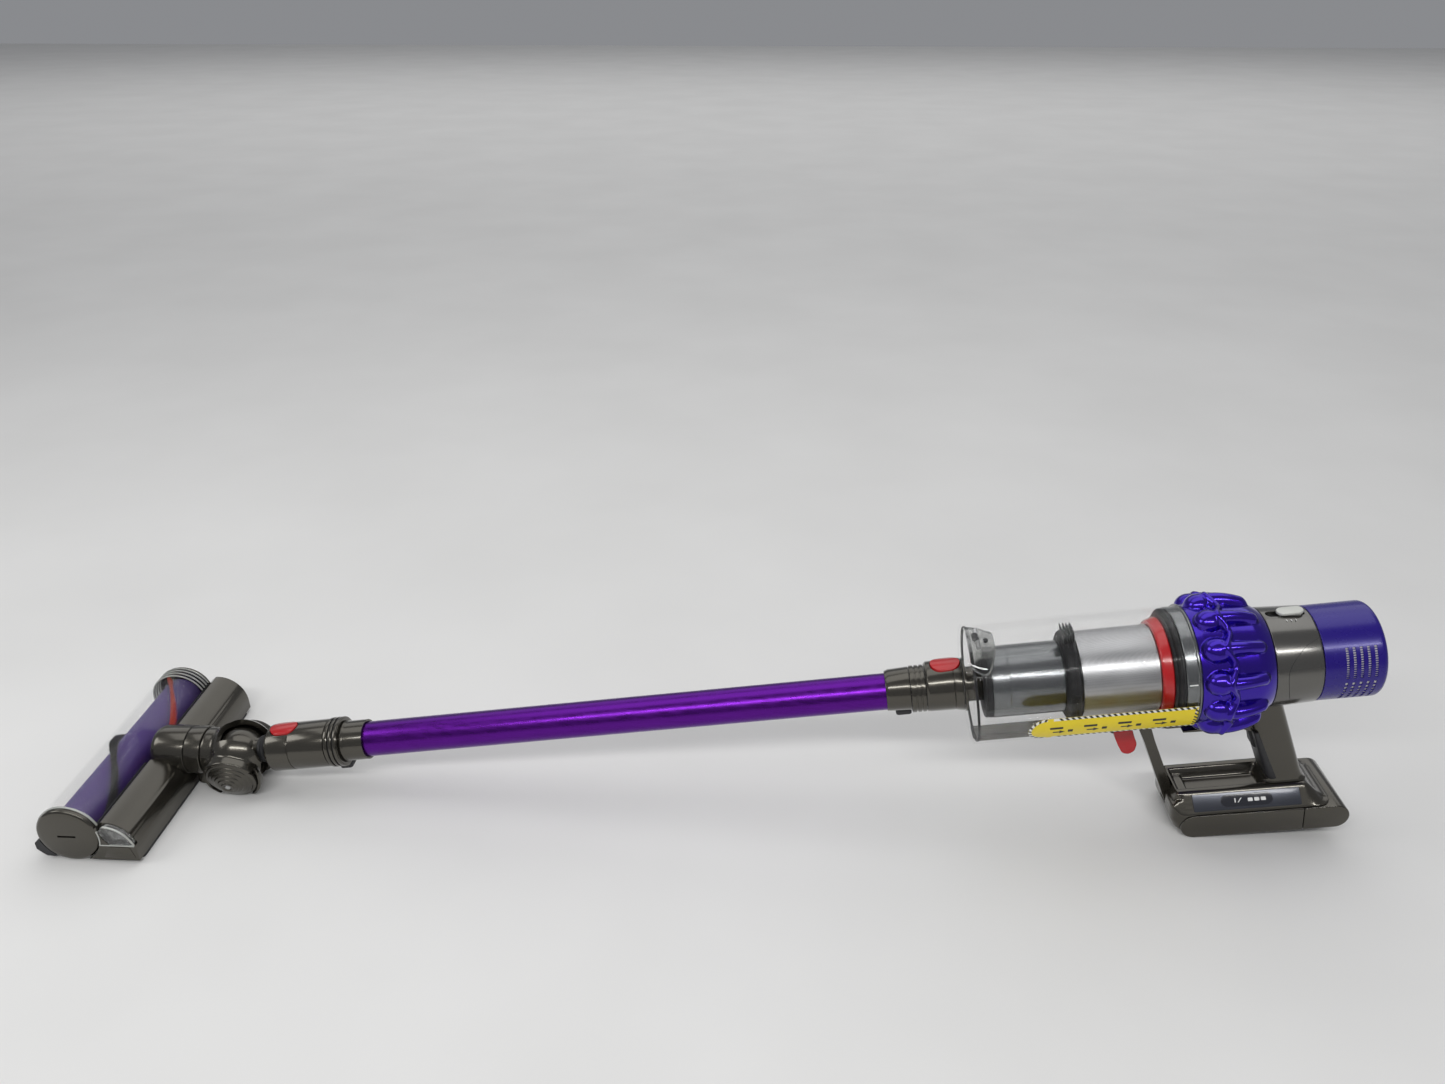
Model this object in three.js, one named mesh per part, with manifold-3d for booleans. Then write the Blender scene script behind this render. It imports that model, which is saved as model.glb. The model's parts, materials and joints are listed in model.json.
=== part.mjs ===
// Cordless stick vacuum, laid down to rest on its handle base: cleaner head, wand and handheld unit.
// Millimetres, +Z up, floor at Z = 0. The head points to -X, the filter end to +X.
// Two nested groups carry the pieces: "head" stands flat on the floor below the neck joint, and
// "body" has its X axis along the wand, starting at the neck joint and rising by TILT.

import * as THREE from 'three';
import { mergeVertices } from 'three/addons/utils/BufferGeometryUtils.js';
import Module from 'manifold-3d';

const wasm = await Module();
wasm.setup();

// ---------------------------------------------------------------- driving dimensions

const GAP = 0.3;                 // clearance left between neighbouring pieces
const NECK_Z = 41;               // height of the neck joint above the floor
const ROUND = 24;                // facets round a large diameter
const SMALL_ROUND = 16;          // facets round a small one

// Cleaner head: x is measured from the neck joint
const HEAD_HALF_WIDTH = 125;
const CAP_DEPTH = 8;
const COVER = { x: -119, z: 31, r: 31, wall: 2.2, rear: 20, front: 197 };
const ROLLER = { x: COVER.x, z: COVER.z, core: 20, bore: 17, tip: 28, halfLength: 112 };
const STRIP_TWIST = 1.5;         // degrees of twist for each millimetre along the roller
const HOUSING = { back: -53, crownX: -82, crownZ: 14, crownHeight: 31.5, bottom: 3.8 };
const SOLE = { front: -147, back: -53.3, thick: 3.5, slotFront: -141, slotBack: -98, halfSlot: 109 };
const SOLE_ROLLER = { x: -74, y: 88, r: 6, halfWidth: 5 };
const NECK = { r: 25, bore: 19, front: -94, seam: -51 };
const YOKE = { r: 32.5, wall: 5.2, ring: -34 };
const WHEEL = { x: -2, r: 26, inner: 26.3, rimEnd: 29.8, tip: 39.5, camber: 15, hubZ: 26 };
const PIVOT_BALL = 24;

// Body: s is measured from the neck joint along the wand, w is the height above the wand's axis
const CONNECTOR = { start: 36, seam: 62.5, collar: 102, end: 117, r: 24.6, bore: 20 };
const WAND = { start: 120, end: 698, r: 18, bore: 16.4 };
const FITTING = { lowerEnd: 141.5, upperStart: 676, upperEnd: 700, r: 20.5 };
const CUFF = { end: 714.5, r: 23 };
const TOP_CONNECTOR = { end: 750.5, r: 25 };
const BUTTON = { length: 29, width: 20.4, lowerStart: 41, upperStart: 720.5 };
const BUTTON_HUMP = 27.6;        // radius of the raised area round the upper button
const BIN = { front: 753.8, doorBack: 759.5, back: 957, r: 58.5, wall: 2.2 };
const DUST_TUBE = { start: 768.5, sealEnd: 775.5, end: 843.5, r: 34.5, bore: 31 };
const DUCT = { r: 17, bore: 15, end: 846 };
const SKIRT = { end: 856, r: 44.3, finReach: 53.8 };
const SHROUD = { start: 857.5, end: 928, r: 41.5, bore: 39.5 };
const COLLAR_END = 938;
const SEAL_END = 946;
const RIM = { r: 55.9, flangeR: 57.9, flangeEnd: 958.5 };
const CYCLONES = { start: 960, end: 1027.5, count: 12, bodyR: 58, bore: 47 };
const CYCLONE_CREST = 69;
const MOTOR_HOUSING = { end: 1070, frontR: 47.7, backR: 45.3, wall: 3 };
const FILTER = { end: 1126, r: 45, wall: 3, ventColumns: 5, ventStart: 1090, ventStep: 6.2 };
const RAIL = { front: 757, back: 958, halfWidth: 9, bottom: -64.5, rearBottom: -69.5 };
const SPINE_BOTTOM = -73;
const HANDLE = { front: 1022, top: -70.5, slope: 0.28, depth: 34.5, halfWidth: 17, corner: 6 };
const TRIGGER = { reach: 3.5, top: -78, bottom: -104, halfWidth: 6 };
const SLAB = { front: 966.5, back: 1099.5, w: -172, r: 13.5, halfWidth: 37.5, seam: 1070 };
const BASE = { front: 945, back: 1098, ridge: -140, ridgeHalf: 22, troughHalf: 15, troughFloor: -150 };
const DISPLAY = { start: 992, end: 1042, width: 13 };

// The body leans on the rounded front edge of the battery, so its tilt follows from the base.
const leanReach = Math.hypot(SLAB.front, SLAB.w);
const TILT = Math.atan2(-SLAB.w, SLAB.front) + Math.asin((SLAB.r - NECK_Z) / leanReach);

// ---------------------------------------------------------------- looks

function look(color, roughness, metalness) {
  return new THREE.MeshStandardMaterial({ color, roughness, metalness });
}

const LOOKS = {
  nickel: look(0x4a4740, 0.3, 0.5),
  dark: look(0x1b1a1c, 0.5, 0.1),
  purple: look(0x5a1fa0, 0.35, 0.8),
  violet: look(0x2a14c0, 0.25, 0.7),
  filter: look(0x20128a, 0.4, 0.1),
  roller: look(0x4b2f86, 0.6, 0.0),
  red: look(0xc01018, 0.35, 0.0),
  bristle: look(0x141414, 0.8, 0.0),
  steel: look(0x9a9c9e, 0.35, 0.9),
  grey: look(0x5d6064, 0.3, 0.7),
  clear: look(0xd8dcd8, 0.1, 0.0),
  silver: look(0xc8c6c0, 0.35, 0.3),
  rubber: look(0x101012, 0.8, 0.0),
  cloth: look(0xe6e2da, 0.9, 0.0),
};

// ---------------------------------------------------------------- solids

// A closed geometry as a solid that can be joined and cut, its faces turned outwards.
function solid(geometry) {
  if (!geometry.isBufferGeometry) return geometry;
  const bare = geometry.index ? geometry.toNonIndexed() : geometry.clone();
  bare.deleteAttribute('normal');
  bare.deleteAttribute('uv');
  const merged = mergeVertices(bare, 1e-4);
  const index = merged.index.array;
  const kept = [];
  for (let i = 0; i < index.length; i += 3) {
    const [a, b, c] = [index[i], index[i + 1], index[i + 2]];
    if (a !== b && b !== c && c !== a) kept.push([a, b, c]);
  }
  const vertProperties = Float32Array.from(merged.attributes.position.array);
  const build = (triangles) => new wasm.Manifold(
    new wasm.Mesh({ numProp: 3, vertProperties, triVerts: Uint32Array.from(triangles.flat()) }));
  const made = build(kept);
  return made.volume() < 0 ? build(kept.map(([a, b, c]) => [a, c, b])) : made;
}

function join(...pieces) {
  return pieces.map(solid).reduce((whole, piece) => whole.add(piece));
}

function cut(whole, ...tools) {
  return tools.map(solid).reduce((left, tool) => left.subtract(tool), solid(whole));
}

function common(a, b) {
  return solid(a).intersect(solid(b));
}

// Puts one finished piece into a group as a named mesh.
function part(group, name, made, material) {
  const mesh = solid(made).getMesh();
  const positions = new Float32Array(mesh.numVert * 3);
  for (let i = 0; i < mesh.numVert; i += 1) {
    positions.set(mesh.vertProperties.subarray(i * mesh.numProp, i * mesh.numProp + 3), i * 3);
  }
  const geometry = new THREE.BufferGeometry();
  geometry.setAttribute('position', new THREE.BufferAttribute(positions, 3));
  geometry.setIndex(new THREE.BufferAttribute(mesh.triVerts, 1));
  geometry.computeVertexNormals();
  const piece = new THREE.Mesh(geometry, material);
  piece.name = name;
  group.add(piece);
}

// ---------------------------------------------------------------- basic shapes

function block(x0, x1, y0, y1, z0, z1) {
  const box = new THREE.BoxGeometry(x1 - x0, y1 - y0, z1 - z0);
  return box.translate((x0 + x1) / 2, (y0 + y1) / 2, (z0 + z1) / 2);
}

// A profile of [x, radius] points turned about the X axis; it starts and ends on the axis or closes.
function turned(profile, facets = ROUND) {
  const points = profile.map(([x, r]) => new THREE.Vector2(r, x));
  return new THREE.LatheGeometry(points, facets).rotateZ(-Math.PI / 2);
}

function rod(x0, x1, r, facets = ROUND) {
  return turned([[x0, 0], [x0, r], [x1, r], [x1, 0]], facets);
}

function ring(x0, x1, outer, inner, facets = ROUND) {
  return turned([[x0, inner], [x0, outer], [x1, outer], [x1, inner], [x0, inner]], facets);
}

// The same two shapes along Y, centred on (x, z).
function rodY(x, z, y0, y1, r, facets = SMALL_ROUND) {
  return rod(y0, y1, r, facets).rotateZ(Math.PI / 2).translate(x, 0, z);
}

function ringY(x, z, y0, y1, outer, inner, facets = SMALL_ROUND) {
  return ring(y0, y1, outer, inner, facets).rotateZ(Math.PI / 2).translate(x, 0, z);
}

function outline(points) {
  return new THREE.Shape(points.map(([a, b]) => new THREE.Vector2(a, b)));
}

function extruded(shape, depth) {
  return new THREE.ExtrudeGeometry(shape, { depth, bevelEnabled: false, curveSegments: 5 });
}

// An outline of [x, z] points carried along Y.
function acrossY(shape, y0, y1) {
  return extruded(shape, y1 - y0).rotateX(Math.PI / 2).translate(0, y1, 0);
}

// An outline of [y, z] points carried along X.
function alongX(shape, x0, x1) {
  return extruded(shape, x1 - x0).rotateX(Math.PI / 2).rotateZ(Math.PI / 2).translate(x0, 0, 0);
}

// An outline of [x, y] points carried up Z.
function upZ(shape, z0, z1) {
  return extruded(shape, z1 - z0).translate(0, 0, z0);
}

function pill(x0, x1, y, halfWidth) {
  const shape = new THREE.Shape();
  shape.absarc(x1 - halfWidth, y, halfWidth, -Math.PI / 2, Math.PI / 2);
  shape.absarc(x0 + halfWidth, y, halfWidth, Math.PI / 2, Math.PI * 1.5);
  return shape;
}

function roundedBox(x0, x1, y0, y1, corner) {
  const shape = new THREE.Shape();
  shape.absarc(x1 - corner, y0 + corner, corner, -Math.PI / 2, 0);
  shape.absarc(x1 - corner, y1 - corner, corner, 0, Math.PI / 2);
  shape.absarc(x0 + corner, y1 - corner, corner, Math.PI / 2, Math.PI);
  shape.absarc(x0 + corner, y0 + corner, corner, Math.PI, Math.PI * 1.5);
  return shape;
}

function ball(x, y, z, r, facets = SMALL_ROUND) {
  return new THREE.SphereGeometry(r, facets, facets / 2).rotateX(Math.PI / 2).translate(x, y, z);
}

function radians(degrees) {
  return degrees * Math.PI / 180;
}

function onCircle(centre, r, degrees) {
  return [centre.x + r * Math.cos(radians(degrees)), centre.z + r * Math.sin(radians(degrees))];
}

// Points of an arc from one angle to another, as [x, z] pairs.
function arc(centre, r, from, to, steps) {
  return Array.from({ length: steps + 1 }, (_, i) => onCircle(centre, r, from + (to - from) * i / steps));
}

// A coil spring standing up Z, as a thin wire swept along its helix.
function coil(x, y, z0, z1, r, wire, turns) {
  class Helix extends THREE.Curve {
    getPoint(t, target = new THREE.Vector3()) {
      const angle = t * turns * 2 * Math.PI;
      const z = z0 + wire + (z1 - z0 - 2 * wire) * t;
      return target.set(x + r * Math.cos(angle), y + r * Math.sin(angle), z);
    }
  }
  const section = new THREE.Shape().absarc(0, 0, wire, 0, 2 * Math.PI);
  return new THREE.ExtrudeGeometry(section, {
    steps: turns * 8, curveSegments: 2, bevelEnabled: false, extrudePath: new Helix(),
  });
}

// ---------------------------------------------------------------- cleaner head

const head = new THREE.Group();

function coverSector(outer, inner, from, to, halfLength) {
  const shape = outline([...arc(COVER, outer, from, to, 22), ...arc(COVER, inner, to, from, 22)]);
  return acrossY(shape, -halfLength, halfLength);
}

// The suction path leaves the roller chamber through this round passage into the neck.
function neckPassage(r) {
  return rod(COVER.x, NECK.seam + 1, r, SMALL_ROUND).translate(0, 0, NECK_Z);
}

const chamberHalf = HEAD_HALF_WIDTH - CAP_DEPTH;

function headHousing() {
  const crown = { x: HOUSING.crownX, z: HOUSING.crownZ };
  const depth = HOUSING.back - HOUSING.crownX;
  const crownArc = (reach, height) => Array.from({ length: 11 }, (_, i) => {
    const angle = radians(96 - 9.6 * i);
    return [crown.x + reach * Math.cos(angle), crown.z + height * Math.sin(angle)];
  });
  const outer = outline([
    onCircle(COVER, COVER.r - 3, COVER.rear), onCircle(COVER, COVER.r, COVER.rear),
    ...crownArc(depth, HOUSING.crownHeight), [HOUSING.back, HOUSING.bottom], [-104, HOUSING.bottom],
  ]);
  const inner = outline([
    onCircle(COVER, COVER.r - 2, COVER.rear - 3), ...crownArc(depth - 2.5, HOUSING.crownHeight - 2.5),
    [HOUSING.back - 2.5, 0], [-100, 0],
  ]);
  const hollow = cut(acrossY(inner, -HEAD_HALF_WIDTH + 4, HEAD_HALF_WIDTH - 4),
    rodY(COVER.x, COVER.z, -HEAD_HALF_WIDTH, HEAD_HALF_WIDTH, COVER.r, ROUND));
  return cut(acrossY(outer, -HEAD_HALF_WIDTH, HEAD_HALF_WIDTH), hollow,
    rodY(COVER.x, COVER.z, -chamberHalf, chamberHalf, COVER.r - COVER.wall, ROUND),
    rodY(COVER.x, COVER.z, -HEAD_HALF_WIDTH - 1, -chamberHalf + GAP, COVER.r + GAP, ROUND),
    rodY(COVER.x, COVER.z, chamberHalf - GAP, HEAD_HALF_WIDTH + 1, COVER.r + GAP, ROUND),
    rod(NECK.front - 8, HOUSING.back + 1, NECK.r + GAP).translate(0, 0, NECK_Z));
}

function frontBumper() {
  const lip = outline([
    [-155.5, 12], [-155.5, 19.5], [-152, 23], [-146, 23], [-138, 8], [-138, 3.9], [-147, 3.9],
  ]);
  return cut(acrossY(lip, -123, 123),
    rodY(COVER.x, COVER.z, -chamberHalf, chamberHalf, COVER.r - COVER.wall, ROUND),
    rodY(COVER.x, COVER.z, -HEAD_HALF_WIDTH, -chamberHalf + GAP, COVER.r + GAP, ROUND),
    rodY(COVER.x, COVER.z, chamberHalf - GAP, HEAD_HALF_WIDTH, COVER.r + GAP, ROUND),
    coverSector(COVER.r + GAP, COVER.r - COVER.wall - 1, COVER.rear, COVER.front + 1, chamberHalf));
}

function solePlate() {
  const plate = block(SOLE.front, SOLE.back, -chamberHalf + GAP, chamberHalf - GAP, 0, SOLE.thick);
  const slot = block(SOLE.slotFront, SOLE.slotBack, -SOLE.halfSlot, SOLE.halfSlot, -1, SOLE.thick + 1);
  const wells = [-1, 1].map((side) => block(
    SOLE_ROLLER.x - SOLE_ROLLER.r - 1, SOLE_ROLLER.x + SOLE_ROLLER.r + 1,
    side * SOLE_ROLLER.y - SOLE_ROLLER.halfWidth - 1, side * SOLE_ROLLER.y + SOLE_ROLLER.halfWidth + 1,
    -1, SOLE.thick + 1));
  return cut(plate, slot, ...wells);
}

// A bristle strip: a bar standing on the roller core that winds round it as it runs along Y.
function bristleStrip(startAngle, thickness) {
  const steps = 22;
  const half = ROLLER.halfLength - 3;
  const inner = ROLLER.core + GAP;
  const positions = [];
  for (let i = 0; i <= steps; i += 1) {
    const y = -half + 2 * half * i / steps;
    const angle = radians(startAngle + STRIP_TWIST * y);
    for (const [r, side] of [[inner, -1], [inner, 1], [ROLLER.tip, 1], [ROLLER.tip, -1]]) {
      const across = side * thickness / 2;
      positions.push(ROLLER.x + r * Math.cos(angle) - across * Math.sin(angle), y,
        ROLLER.z + r * Math.sin(angle) + across * Math.cos(angle));
    }
  }
  const index = [0, 1, 2, 0, 2, 3];
  for (let i = 0; i < steps; i += 1) {
    for (let k = 0; k < 4; k += 1) {
      const a = 4 * i + k;
      const b = 4 * i + (k + 1) % 4;
      index.push(a, a + 4, b, b, a + 4, b + 4);
    }
  }
  const last = 4 * steps;
  index.push(last, last + 2, last + 1, last, last + 3, last + 2);
  const strip = new THREE.BufferGeometry();
  strip.setAttribute('position', new THREE.Float32BufferAttribute(positions, 3));
  strip.setIndex(index);
  return strip;
}

function endDisc(side) {
  const near = side * chamberHalf;
  const far = side * HEAD_HALF_WIDTH;
  return rodY(COVER.x, COVER.z, Math.min(near, far), Math.max(near, far), COVER.r - GAP, ROUND);
}

part(head, 'head_housing', headHousing(), LOOKS.nickel);
part(head, 'sole_plate', solePlate(), LOOKS.dark);
part(head, 'front_bumper', frontBumper(), LOOKS.dark);
part(head, 'brush_cover', cut(
  coverSector(COVER.r, COVER.r - COVER.wall, COVER.rear + 0.6, COVER.front, chamberHalf - 2 * GAP),
  neckPassage(NECK.bore)), LOOKS.clear);
part(head, 'far_end_cap', endDisc(1), LOOKS.nickel);
part(head, 'end_cap', cut(
  join(endDisc(-1), rodY(ROLLER.x, ROLLER.z, -chamberHalf - 1, -105, 4)),
  block(COVER.x - 9, COVER.x + 9, -126, -121, COVER.z - 1, COVER.z + 1)), LOOKS.nickel);
part(head, 'neck_tube', cut(
  join(rod(NECK.front + 12, NECK.seam - GAP, NECK.r).translate(0, 0, NECK_Z),
    turned([[NECK.front, 0], [NECK.front + 1.5, 13], [NECK.front + 5, 20], [NECK.front + 12.1, NECK.r],
      [NECK.front + 13, NECK.r], [NECK.front + 13, 0]]).translate(0, 0, NECK_Z)),
  neckPassage(NECK.bore),
  rodY(COVER.x, COVER.z, -60, 60, COVER.r + GAP, ROUND)), LOOKS.nickel);
part(head, 'roller_motor', rodY(ROLLER.x, ROLLER.z, -58, chamberHalf - GAP, 14), LOOKS.dark);
part(head, 'roller_tube', join(
  ringY(ROLLER.x, ROLLER.z, -ROLLER.halfLength, ROLLER.halfLength, ROLLER.core, ROLLER.bore, 20),
  ringY(ROLLER.x, ROLLER.z, -ROLLER.halfLength, -ROLLER.halfLength + 8, ROLLER.core - 1, 4.3, 20),
), LOOKS.roller);
part(head, 'black_bristle_strip', bristleStrip(135, 6), LOOKS.bristle);
part(head, 'red_bristle_strip', bristleStrip(-45, 4), LOOKS.red);
for (const [name, side] of [['left', -1], ['right', 1]]) {
  const y = side * SOLE_ROLLER.y;
  part(head, `sole_roller_${name}`, rodY(SOLE_ROLLER.x, SOLE_ROLLER.r + 0.1,
    y - SOLE_ROLLER.halfWidth, y + SOLE_ROLLER.halfWidth, SOLE_ROLLER.r), LOOKS.rubber);
}

// ---------------------------------------------------------------- neck yoke and wheels

// The wheels lean in at the bottom: each axle drops by the camber angle as it runs outwards, and
// both start from one point in the middle, high enough that the rims stand on the floor.
const camber = radians(WHEEL.camber);
const AXLE_Z = WHEEL.r * Math.cos(camber) + WHEEL.rimEnd * Math.sin(camber);

// Leans a shape made about the Y axis at the origin, and moves it to the axles' starting point.
function leaning(side, geometry) {
  return geometry.rotateX(-side * camber).translate(WHEEL.x, 0, AXLE_Z);
}

// A leaning rod along the axle, from one distance outwards to another.
function axleRod(side, from, to, radius, facets = ROUND) {
  const [start, end] = [side * from, side * to].sort((a, b) => a - b);
  return leaning(side, rodY(0, 0, start, end, radius, facets));
}

function neckYoke() {
  const wheelRoom = [-1, 1].flatMap((side) => [
    axleRod(side, WHEEL.inner - 0.4, 60, WHEEL.r + 1.2),
    axleRod(side, 18, WHEEL.inner, 3.3, SMALL_ROUND),
  ]);
  const shell = join(
    ball(0, 0, NECK_Z, YOKE.r),
    rod(NECK.seam + GAP, YOKE.ring, NECK.r).translate(0, 0, NECK_Z),
    rod(YOKE.ring, 0, NECK.r - 0.8).translate(0, 0, NECK_Z),
    block(NECK.seam + GAP, -10, -13, 13, 6, NECK_Z - 10),
    rodY(WHEEL.x, WHEEL.hubZ, -25.6, 25.6, 24, SMALL_ROUND));
  const sweep = [-34, -4, 26, 56, 86, 114].map((angle) => onCircle({ x: 0, z: NECK_Z }, 60, angle));
  const rearOpening = acrossY(outline([[-5, NECK_Z], [0, NECK_Z - 16], ...sweep]), -16, 16);
  return cut(shell,
    ball(0, 0, NECK_Z, YOKE.r - YOKE.wall),
    rod(NECK.seam - 5, -15, NECK.bore, SMALL_ROUND).translate(0, 0, NECK_Z),
    rearOpening,
    ...wheelRoom,
    block(-60, 60, -60, 60, -10, 2.5));
}

// A domed wheel with stepped rings; its profile runs outwards from the yoke.
function domeWheel(side) {
  const profile = [
    [WHEEL.inner, 3.3], [WHEEL.inner, WHEEL.r - 1], [WHEEL.inner + 1, WHEEL.r], [WHEEL.rimEnd, WHEEL.r],
    [WHEEL.inner + 5, 22.5], [WHEEL.inner + 7, 21.5], [WHEEL.inner + 8.5, 17.5], [WHEEL.inner + 10.3, 16.5],
    [WHEEL.inner + 11.3, 11.5], [WHEEL.inner + 12.6, 10.5], [WHEEL.tip, 6], [WHEEL.tip, 3.3],
    [WHEEL.inner, 3.3],
  ];
  return leaning(side, turned(profile, ROUND).rotateZ(side * Math.PI / 2));
}

part(head, 'neck_yoke', neckYoke(), LOOKS.nickel);
for (const [name, side] of [['left', -1], ['right', 1]]) {
  part(head, `wheel_${name}`, domeWheel(side), LOOKS.nickel);
  part(head, `wheel_axle_${name}`, axleRod(side, 23.5, WHEEL.tip - 0.5, 3, SMALL_ROUND), LOOKS.steel);
}

// ---------------------------------------------------------------- wand and its two connectors

const body = new THREE.Group();

// An oval button in a pocket on top of a connector, its face following the connector's round,
// with the coil spring that lifts it.
const POCKET = { floor: 12.6, springTop: 16.6 };

function buttonPocket(start, reach) {
  const end = start + BUTTON.length;
  const frameHalf = BUTTON.width / 2 + 2.5;
  const frame = block(start - 3, end + 3, -frameHalf, frameHalf, POCKET.floor - 1.8, 20);
  const hole = upZ(pill(start - GAP, end + GAP, 0, BUTTON.width / 2 + GAP), POCKET.floor, reach);
  return { frame, hole };
}

function addButton(name, start, faceRadius) {
  const end = start + BUTTON.length;
  const middle = (start + end) / 2;
  const oval = upZ(pill(start, end, 0, BUTTON.width / 2), POCKET.springTop + GAP, faceRadius + 1);
  part(body, `${name}_release_button`, common(oval, rod(start - 1, end + 1, faceRadius)), LOOKS.red);
  part(body, `${name}_button_spring`,
    coil(middle, 0, POCKET.floor + GAP, POCKET.springTop, 3.5, 0.5, 2), LOOKS.steel);
}

function headConnector() {
  const { frame, hole } = buttonPocket(BUTTON.lowerStart, 40);
  const shell = turned([
    [CONNECTOR.start, 13.6], [CONNECTOR.start, 22.6], [CONNECTOR.start + 2, CONNECTOR.r],
    [CONNECTOR.seam - 0.4, CONNECTOR.r], [CONNECTOR.seam, CONNECTOR.r - 0.5],
    [CONNECTOR.seam + 0.4, CONNECTOR.r], [CONNECTOR.collar - GAP, CONNECTOR.r],
    [CONNECTOR.collar - GAP, CONNECTOR.bore], [CONNECTOR.start + 3, CONNECTOR.bore],
    [CONNECTOR.start + 3, 13.6], [CONNECTOR.start, 13.6],
  ]);
  return cut(join(shell, frame), hole);
}

function connectorCollar() {
  const ribs = [102, 103, 107, 108, 109, 112, 113, 114, 116.5];
  const heights = [24.6, 25.6, 25.6, 24.7, 25.6, 25.6, 24.7, 25.4, 24.6];
  const profile = ribs.map((s, i) => [s, heights[i]]);
  const collar = turned([...profile, [116.5, 20.9], [102, 20.9], [102, 24.6]]);
  return join(collar, block(104, 116, -8, 8, -29.5, -23));
}

part(body, 'pivot_ball', cut(
  join(ball(0, 0, 0, PIVOT_BALL), rod(0, 70, 13, SMALL_ROUND)),
  ball(0, 0, 0, PIVOT_BALL - 3),
  rod(5, 71, 9.6, SMALL_ROUND),
  rod(-40, -13, 30),
  block(BUTTON.lowerStart - 4, 71, -10, 10, POCKET.floor - 2.1, 20)), LOOKS.dark);
part(body, 'head_connector', headConnector(), LOOKS.nickel);
part(body, 'connector_collar', connectorCollar(), LOOKS.nickel);
addButton('lower', BUTTON.lowerStart, CONNECTOR.r + 0.9);

part(body, 'wand_lower_fitting', turned([
  [103, 18.3], [103, 20.5], [CONNECTOR.end + GAP, 20.5], [FITTING.lowerEnd, FITTING.r],
  [FITTING.lowerEnd, 18.3], [103, 18.3],
]), LOOKS.nickel);
part(body, 'wand_tube', ring(WAND.start, WAND.end, WAND.r, WAND.bore), LOOKS.purple);
part(body, 'wand_upper_fitting', join(
  turned([[FITTING.upperStart, 18.3], [FITTING.upperStart, 19.6], [FITTING.upperStart + 4, 20.8],
    [FITTING.upperEnd - GAP, 22], [FITTING.upperEnd - GAP, 18.3], [FITTING.upperStart, 18.3]]),
  block(685, 699.7, -7, 7, -26, -19)), LOOKS.nickel);
part(body, 'wand_cuff', turned([
  [700, 17.5], [700, 22.4], [701, CUFF.r], [704, CUFF.r], [705, 22], [706, CUFF.r], [709, CUFF.r],
  [710, 22], [711, CUFF.r], [CUFF.end - GAP, CUFF.r], [CUFF.end - GAP, 17.5], [700, 17.5],
]), LOOKS.nickel);

function topConnector() {
  const { frame, hole } = buttonPocket(BUTTON.upperStart, 40);
  const end = TOP_CONNECTOR.end - GAP;
  const shell = turned([
    [CUFF.end, 19], [CUFF.end, 23.4], [CUFF.end + 4, 24.4], [741.1, TOP_CONNECTOR.r],
    [741.5, TOP_CONNECTOR.r - 0.5], [741.9, TOP_CONNECTOR.r], [end, TOP_CONNECTOR.r + 0.8],
    [end, 19], [CUFF.end, 19],
  ]);
  const hump = common(upZ(roundedBox(716.5, end, -13, 13, 6), 10, BUTTON_HUMP), rod(716, end, BUTTON_HUMP));
  const hollowHump = cut(hump, rod(700, 760, 19));
  const trimmedFrame = cut(frame, rod(700, 719, 30), rod(end, 760, 30));
  return cut(join(shell, hollowHump, trimmedFrame), hole);
}

part(body, 'upper_connector', topConnector(), LOOKS.nickel);
addButton('upper', BUTTON.upperStart, BUTTON_HUMP + 0.7);

// ---------------------------------------------------------------- bin and what it holds

part(body, 'inlet_duct', turned([
  [TOP_CONNECTOR.end, DUCT.bore], [TOP_CONNECTOR.end, 26], [BIN.front - GAP, 26], [BIN.front - GAP, DUCT.r],
  [DUCT.end, DUCT.r], [DUCT.end, DUCT.bore], [TOP_CONNECTOR.end, DUCT.bore],
]), LOOKS.nickel);
part(body, 'bin_door', turned([
  [BIN.front, DUCT.r + GAP], [BIN.front, BIN.r - 1], [BIN.front + 1, BIN.r], [BIN.doorBack, BIN.r],
  [BIN.doorBack, BIN.r - 2], [BIN.front + 3, BIN.r - 2], [BIN.front + 3, DUCT.r + GAP],
  [BIN.front, DUCT.r + GAP],
]), LOOKS.clear);
part(body, 'door_seal', ring(BIN.front + 3 + GAP, BIN.doorBack, BIN.r - 2.3, BIN.r - 5.5), LOOKS.rubber);
part(body, 'bin_tube', ring(BIN.doorBack + GAP, BIN.back, BIN.r, BIN.r - BIN.wall), LOOKS.clear);
part(body, 'bin_hinge_block', cut(
  block(755.3, 778, -5, 24, 45, 64).rotateX(-0.12),
  rod(750, 785, BIN.r + GAP),
  cut(rod(750, 790, 80), rod(749, 791, 64.5))), LOOKS.clear);
part(body, 'fine_dust_tube',
  ring(DUST_TUBE.sealEnd + GAP, DUST_TUBE.end, DUST_TUBE.r, DUST_TUBE.bore), LOOKS.grey);
part(body, 'fine_dust_seal',
  ring(DUST_TUBE.start, DUST_TUBE.sealEnd, DUST_TUBE.r - 0.4, DUCT.r + GAP), LOOKS.rubber);

function wiperSkirt() {
  const skirt = turned([
    [DUST_TUBE.end + GAP, DUCT.r + GAP], [DUST_TUBE.end + GAP, 38], [DUST_TUBE.end + 5, SKIRT.r],
    [SKIRT.end, SKIRT.r], [SKIRT.end, 40], [DUST_TUBE.end + 6, 38], [DUST_TUBE.end + 6, DUCT.r + GAP],
    [DUST_TUBE.end + GAP, DUCT.r + GAP],
  ]);
  const fins = [-8, 0, 8].map((angle) =>
    block(SKIRT.end - 8.5, SKIRT.end - 1, -1, 1, 42, SKIRT.finReach).rotateX(radians(angle)));
  return join(skirt, ...fins);
}

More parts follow.
